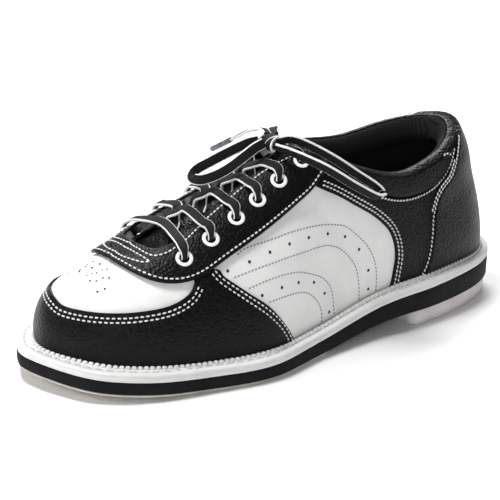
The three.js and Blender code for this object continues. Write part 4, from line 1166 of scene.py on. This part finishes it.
def make_stitches():
    white, grey = LOOKS["white_thread"], LOOKS["grey_thread"]
    black_rows = []
    black_rows.append(row(over_ridge(EYESTAY_OUTER), -2.0 * MM, OVER_TOP))
    for curve in (THROAT_ROW, LEAF_ROW, LEAF_ROW_UPPER):
        black_rows.append(row(over_ridge(curve), 0, OVER_TOP, 2.5 * MM, 1.8 * MM))
    for offset in (2.6, 4.6):
        black_rows.append(row(PLUG_RIM[1:-1], offset * MM, OVER_OVERLAY))
    for offset in (1.7, 4.0):
        black_rows.append(row(GUARD_SEAM, offset * MM, OVER_OVERLAY))
        black_rows.append(row([(2 - u, v) for u, v in GUARD_SEAM], -offset * MM, OVER_OVERLAY))
    for offset in (1.8, 4.2):
        for curve, sign in both_sides(WHITE_REAR_EDGE):
            black_rows.append(row(curve, sign * -offset * MM, OVER_OVERLAY, 2.3 * MM, 2.0 * MM, 0.35))
    stitch_piece("stitches_on_black", black_rows, white, STITCH)
    rear_rows = []
    for seam in (COLLAR_ROW, COLLAR_CROSS_ROW):
        for curve, sign in both_sides(seam):
            u, v = offset_line(curve, 0).T
            lift = OVER_OVERLAY + 0.45 * MM + 0.85 * MM * smooth(0.69, 0.8, v)
            rear_rows.append(even_stitches(lifted(u, v, lift), normal_at(u, v), 2.3 * MM, 1.7 * MM, 0.5))
    for edge, offset in ((BACKSTAY_EDGE[:-1], 1.8 * MM), (BACKSTAY_EDGE[4:-3], 3.9 * MM)):
        for curve, sign in both_sides(edge):
            u, v = offset_line(curve, sign * offset).T
            lift = LAYER["top"][1] + backstay_relief(u, v)
            rear_rows.append(even_stitches(lifted(u, v, lift), normal_at(u, v), 2.3 * MM, 1.7 * MM, 0.4))
    stitch_piece("stitches_on_rear", rear_rows, white, 1.9 * MM)
    fan = []
    for curve in ARCH_ROWS:
        for one, sign in both_sides(curve):
            u, v = offset_line(one, 0).T
            lift = OVER_BASE + quarter_relief(u, v)
            fan.append(even_stitches(lifted(u, v, lift), normal_at(u, v), 2.1 * MM, 1.7 * MM, 0.15 * sign))
    stitch_piece("stitches_on_white", fan, grey, 1.75 * MM, 0.36 * MM, 0.26 * MM)


def make_holes():
    white, level = LOOKS["white_leather"], LAYER["base"][1] + 0.05 * MM
    spots = ARCH_HOLES + other_side(ARCH_HOLES)
    hole_piece("quarter_perforations", spots, level, 0.9 * MM, white, relief=quarter_relief)
    plug = []
    for k, (u, spread) in enumerate([(0.906, 2), (0.921, 3), (0.936, 3), (0.951, 2), (0.965, 1)]):
        for j in range(-spread, spread + 1):
            plug.append((u - 0.006 * abs(j), 1 + 0.135 * (j + 0.15 * (k % 2))))
    hole_piece("plug_perforations", plug, level, 0.6 * MM, white)


# ---------------------------------------------------------------- bottom unit
RING_STEPS = 260


def sole_ring(count=RING_STEPS):
    """The sole's edge from the heel round the outer side, evenly by its control points."""
    n = len(SOLE_EDGE)
    t = np.arange(count) / count
    place = np.where(t < 0.5, t * 2 * TOE_TIP, TOE_TIP + (t - 0.5) * 2 * (n - TOE_TIP))
    i = place.astype(int) % n
    knots = [SOLE_EDGE[(i + d) % n] for d in (-1, 0, 1, 2)]
    return blend4(*knots, (place - np.floor(place))[:, None])


def inset(ring, distance):
    """A closed ring, clockwise from above, moved inward."""
    forward = unit(np.roll(ring, -1, 0) - np.roll(ring, 1, 0))
    return ring + np.stack([forward[:, 1], -forward[:, 0]], -1) * np.reshape(distance, (-1, 1))


def ring_band(name, profile, look, base, top, replaces):
    """A closed band round the sole: profile of (distance inward, share from base to top)."""
    ring = sole_ring()
    layers = []
    for inward, share in profile:
        flat = inset(ring, inward)
        height = mix(base(flat[:, 0]), top(flat[:, 0]), share)
        layers.append(np.concatenate([flat, height[:, None]], -1))
    sections = list(np.stack(layers, 1))
    made = swept(name, sections, [look], closed_run=True)
    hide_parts(*replaces)
    return made


def solid_slab(name, ring, levels, look, replaces):
    """A solid in rings from its bottom to its top: levels of (distance inward, height of x)."""
    rings = []
    for inward, height in levels:
        flat = inset(ring, inward)
        rings.append(np.concatenate([flat, height(flat[:, 0])[:, None]], -1))
    n = len(ring)
    half = n // 2
    faces = grid_faces(len(rings), n, loop=True)
    for start, flip in ((0, False), ((len(rings) - 1) * n, True)):
        for k in range(half):
            a, b, c, d = start + k, start + k + 1, start + (n - k - 1) % n, start + (n - k) % n
            face = (a, b, c, d) if d != a else (a, b, c)
            faces.append(face[::-1] if flip else face)
    made = new_piece(name, np.concatenate(rings), [tuple(dict.fromkeys(f)) for f in faces if len(set(f)) > 2],
                     [look])
    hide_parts(*replaces)
    return made


def cut_ring(ring, low, high, corner=3 * MM):
    """The part of a ring between two x, as a closed ring with rounded corners where it is cut."""
    half = len(ring) // 2
    outer = ring[: half + 1]
    inner = np.concatenate([ring[:1], ring[half:][::-1]])
    x = np.linspace(max(low, ring[0][0]), min(high, ring[half][0]), 121)
    x = x[0] + (x[-1] - x[0]) * (1 - np.cos(np.linspace(0, math.pi, 121))) / 2
    sides = [np.interp(x, s[:, 0], s[:, 1]) for s in (outer, inner)]
    middle = (sides[0] + sides[1]) / 2
    for at, on in ((high, high < ring[half][0]), (low, low > ring[0][0])):
        if on:
            near = np.clip(1 - np.abs(x - at) / corner, 0, 1)
            pull = 1 - np.sqrt(1 - near**2)
            for s in sides:
                s += np.sign(middle - s) * pull * corner * 0.9
    first = np.stack([x, sides[0]], -1)
    second = np.stack([x, sides[1]], -1)
    back = second[::-1] if low > ring[0][0] else second[::-1][1:-1]
    return np.concatenate([first, back])


def make_welt():
    ring_band("welt", [
        (19 * MM, 0), (0.5 * MM, 0), (0.1 * MM, 0.08), (0.0, 0.2), (0.0, 0.52), (0.25 * MM, 0.6),
        (0.1 * MM, 0.68), (0.2 * MM, 0.86), (0.6 * MM, 0.96), (1.3 * MM, 1.0), (3.1 * MM, 1.0),
        (3.4 * MM, 0.92), (4.1 * MM, 0.92), (4.4 * MM, 1.0), (19 * MM, 1.0),
    ], LOOKS["white_welt"], midsole_top, welt_top, ["welt"])


def make_midsole():
    def top(x):
        return midsole_top(x) - GAP / 2

    solid_slab("midsole", sole_ring(), [
        (1.0 * MM, lambda x: midsole_bottom(x)), (0.25 * MM, lambda x: midsole_bottom(x) + 0.3 * MM),
        (0.05 * MM, lambda x: midsole_bottom(x) + 1.0 * MM), (0.05 * MM, lambda x: top(x) - 1.0 * MM),
        (0.3 * MM, lambda x: top(x) - 0.25 * MM), (1.0 * MM, top),
    ], LOOKS["black_sole"], ["midsole"])


def make_heel():
    def top(x):
        return np.minimum(midsole_bottom(x), HEEL_HEIGHT) - GAP / 2

    ring = cut_ring(inset(sole_ring(), 1.2 * MM), -1, HEEL_BREAST_X, 6 * MM)
    solid_slab("heel_block", ring, [
        (1.6 * MM, lambda x: 0 * x), (0.5 * MM, lambda x: 0 * x + 0.35 * MM),
        (0.1 * MM, lambda x: 0 * x + 1.3 * MM), (0.0, lambda x: top(x) - 0.8 * MM), (0.6 * MM, top),
    ], LOOKS["heel_rubber"], ["heel_block"])


def make_slide():
    def top(x):
        return midsole_bottom(x) - GAP / 2

    ring = cut_ring(inset(sole_ring(), 0.8 * MM), SLIDE_REAR_X, 1, 4 * MM)
    solid_slab("slide_sole", ring, [
        (0.8 * MM, lambda x: top(x) - SLIDE_THICK - GAP / 2),
        (0.2 * MM, lambda x: top(x) - SLIDE_THICK + 0.2 * MM),
        (0.0, lambda x: top(x) - 0.3 * MM), (0.2 * MM, top),
    ], LOOKS["slide_leather"], ["slide_sole"])


def flat_row(ring, height, lift, pitch, length, slant=0.0):
    closed = np.concatenate([ring, ring[:1]])
    points = np.concatenate([closed, (height(closed[:, 0]) + lift)[:, None]], -1)
    return even_stitches(points, np.tile(UP, (len(points), 1)), pitch, length, slant)


def make_welt_stitches():
    seam = flat_row(inset(sole_ring(), 3.75 * MM), welt_top, -0.05 * MM, 5.6 * MM, 4.6 * MM)
    stitch_piece("welt_stitches", [seam], LOOKS["welt_thread"], 4.6 * MM, 0.62 * MM, 0.42 * MM)


BEAD_PERIOD = 3.0 * MM


def make_welt_bead():
    """The scalloped bead of the welt, next to the upper."""
    u = np.linspace(0, 2, 700)
    foot = on_upper(u, 0 * u)[:, :2]
    n = normal_at(u, 0 * u + 0.02)[:, :2]
    ring = foot + unit(n) * 1.5 * MM
    bead = flat_row(ring, welt_top, 0.25 * MM, BEAD_PERIOD, BEAD_PERIOD * 1.12)
    scallop = BEAD_PERIOD * 1.02
    stitch_piece("welt_bead", [bead], LOOKS["white_welt"], scallop, 1.3 * MM, 1.25 * MM)


# ---------------------------------------------------------------- pieces kept from the CAD
KEPT_LOOKS = {
    "forefoot_filler": "cork", "heel_filler": "cork", "shank": "steel", "insole_board": "board",
    "toe_puff": "board", "heel_counter": "board", "sock_liner": "textile",
}


def dress_kept_nodes():
    for node, look in KEPT_LOOKS.items():
        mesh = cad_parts[node].data
        mesh.materials.clear()
        mesh.materials.append(LOOKS[look])


# ---------------------------------------------------------------- studio
def make_floor():
    mesh = bpy.data.meshes.new("floor")
    size = 4.0
    corners = [(-size, -size, 0), (size, -size, 0), (size, size, 0), (-size, size, 0)]
    mesh.from_pydata(corners, [], [(0, 1, 2, 3)])
    floor = bpy.data.objects.new("floor", mesh)
    floor.location.z = -0.1 * MM
    bpy.context.scene.collection.objects.link(floor)
    m = Nodes("floor", (0.9, 0.9, 0.9), 0.9)
    mesh.materials.append(m.use(Base_Color=m.mixed(m.noise(0.3, 2), (0.90, 0.90, 0.90), (0.91, 0.91, 0.91))))


def add_area(name, place, target, size, power):
    data = bpy.data.lights.new(name, "AREA")
    data.shape = "DISK"
    data.size = size
    data.energy = power
    lamp = bpy.data.objects.new(name, data)
    lamp.location = place
    lamp.rotation_mode = "QUATERNION"
    lamp.rotation_quaternion = (Vector(target) - Vector(place)).to_track_quat("-Z", "Y")
    bpy.context.scene.collection.objects.link(lamp)


WORLD_STRENGTH = 0.2
LAMPS = [  # name, place, what it points at, size, watts
    ("key", (0.30, -0.10, 1.0), (0.03, 0, 0.04), 0.3, 9),
    ("front", (1.0, -0.3, 0.55), (0.08, 0, 0.05), 0.25, 3.0),
    ("fill", (0.75, 0.9, 0.5), (0.08, 0, 0.04), 0.4, 3.0),
    ("backdrop", (-1.2, -1.6, 1.8), (-1.1, -1.5, 0), 1.6, 90),
]


def make_lights():
    bpy.context.scene.view_settings.view_transform = "Standard"
    world = bpy.data.worlds.new("studio")
    world.use_nodes = True
    background = world.node_tree.nodes["Background"]
    background.inputs["Color"].default_value = (1, 1, 1, 1)
    background.inputs["Strength"].default_value = WORLD_STRENGTH
    bpy.context.scene.world = world
    for lamp in LAMPS:
        add_area(*lamp)


def main():
    make_camera()
    make_free_laces()
    make_laces()
    make_panels()
    make_backstay()
    make_collar()
    make_linings()
    make_tongue()
    make_eyelets()
    make_stitches()
    make_holes()
    make_welt()
    make_midsole()
    make_heel()
    make_slide()
    make_welt_stitches()
    make_welt_bead()
    dress_kept_nodes()
    make_floor()
    make_lights()


main()
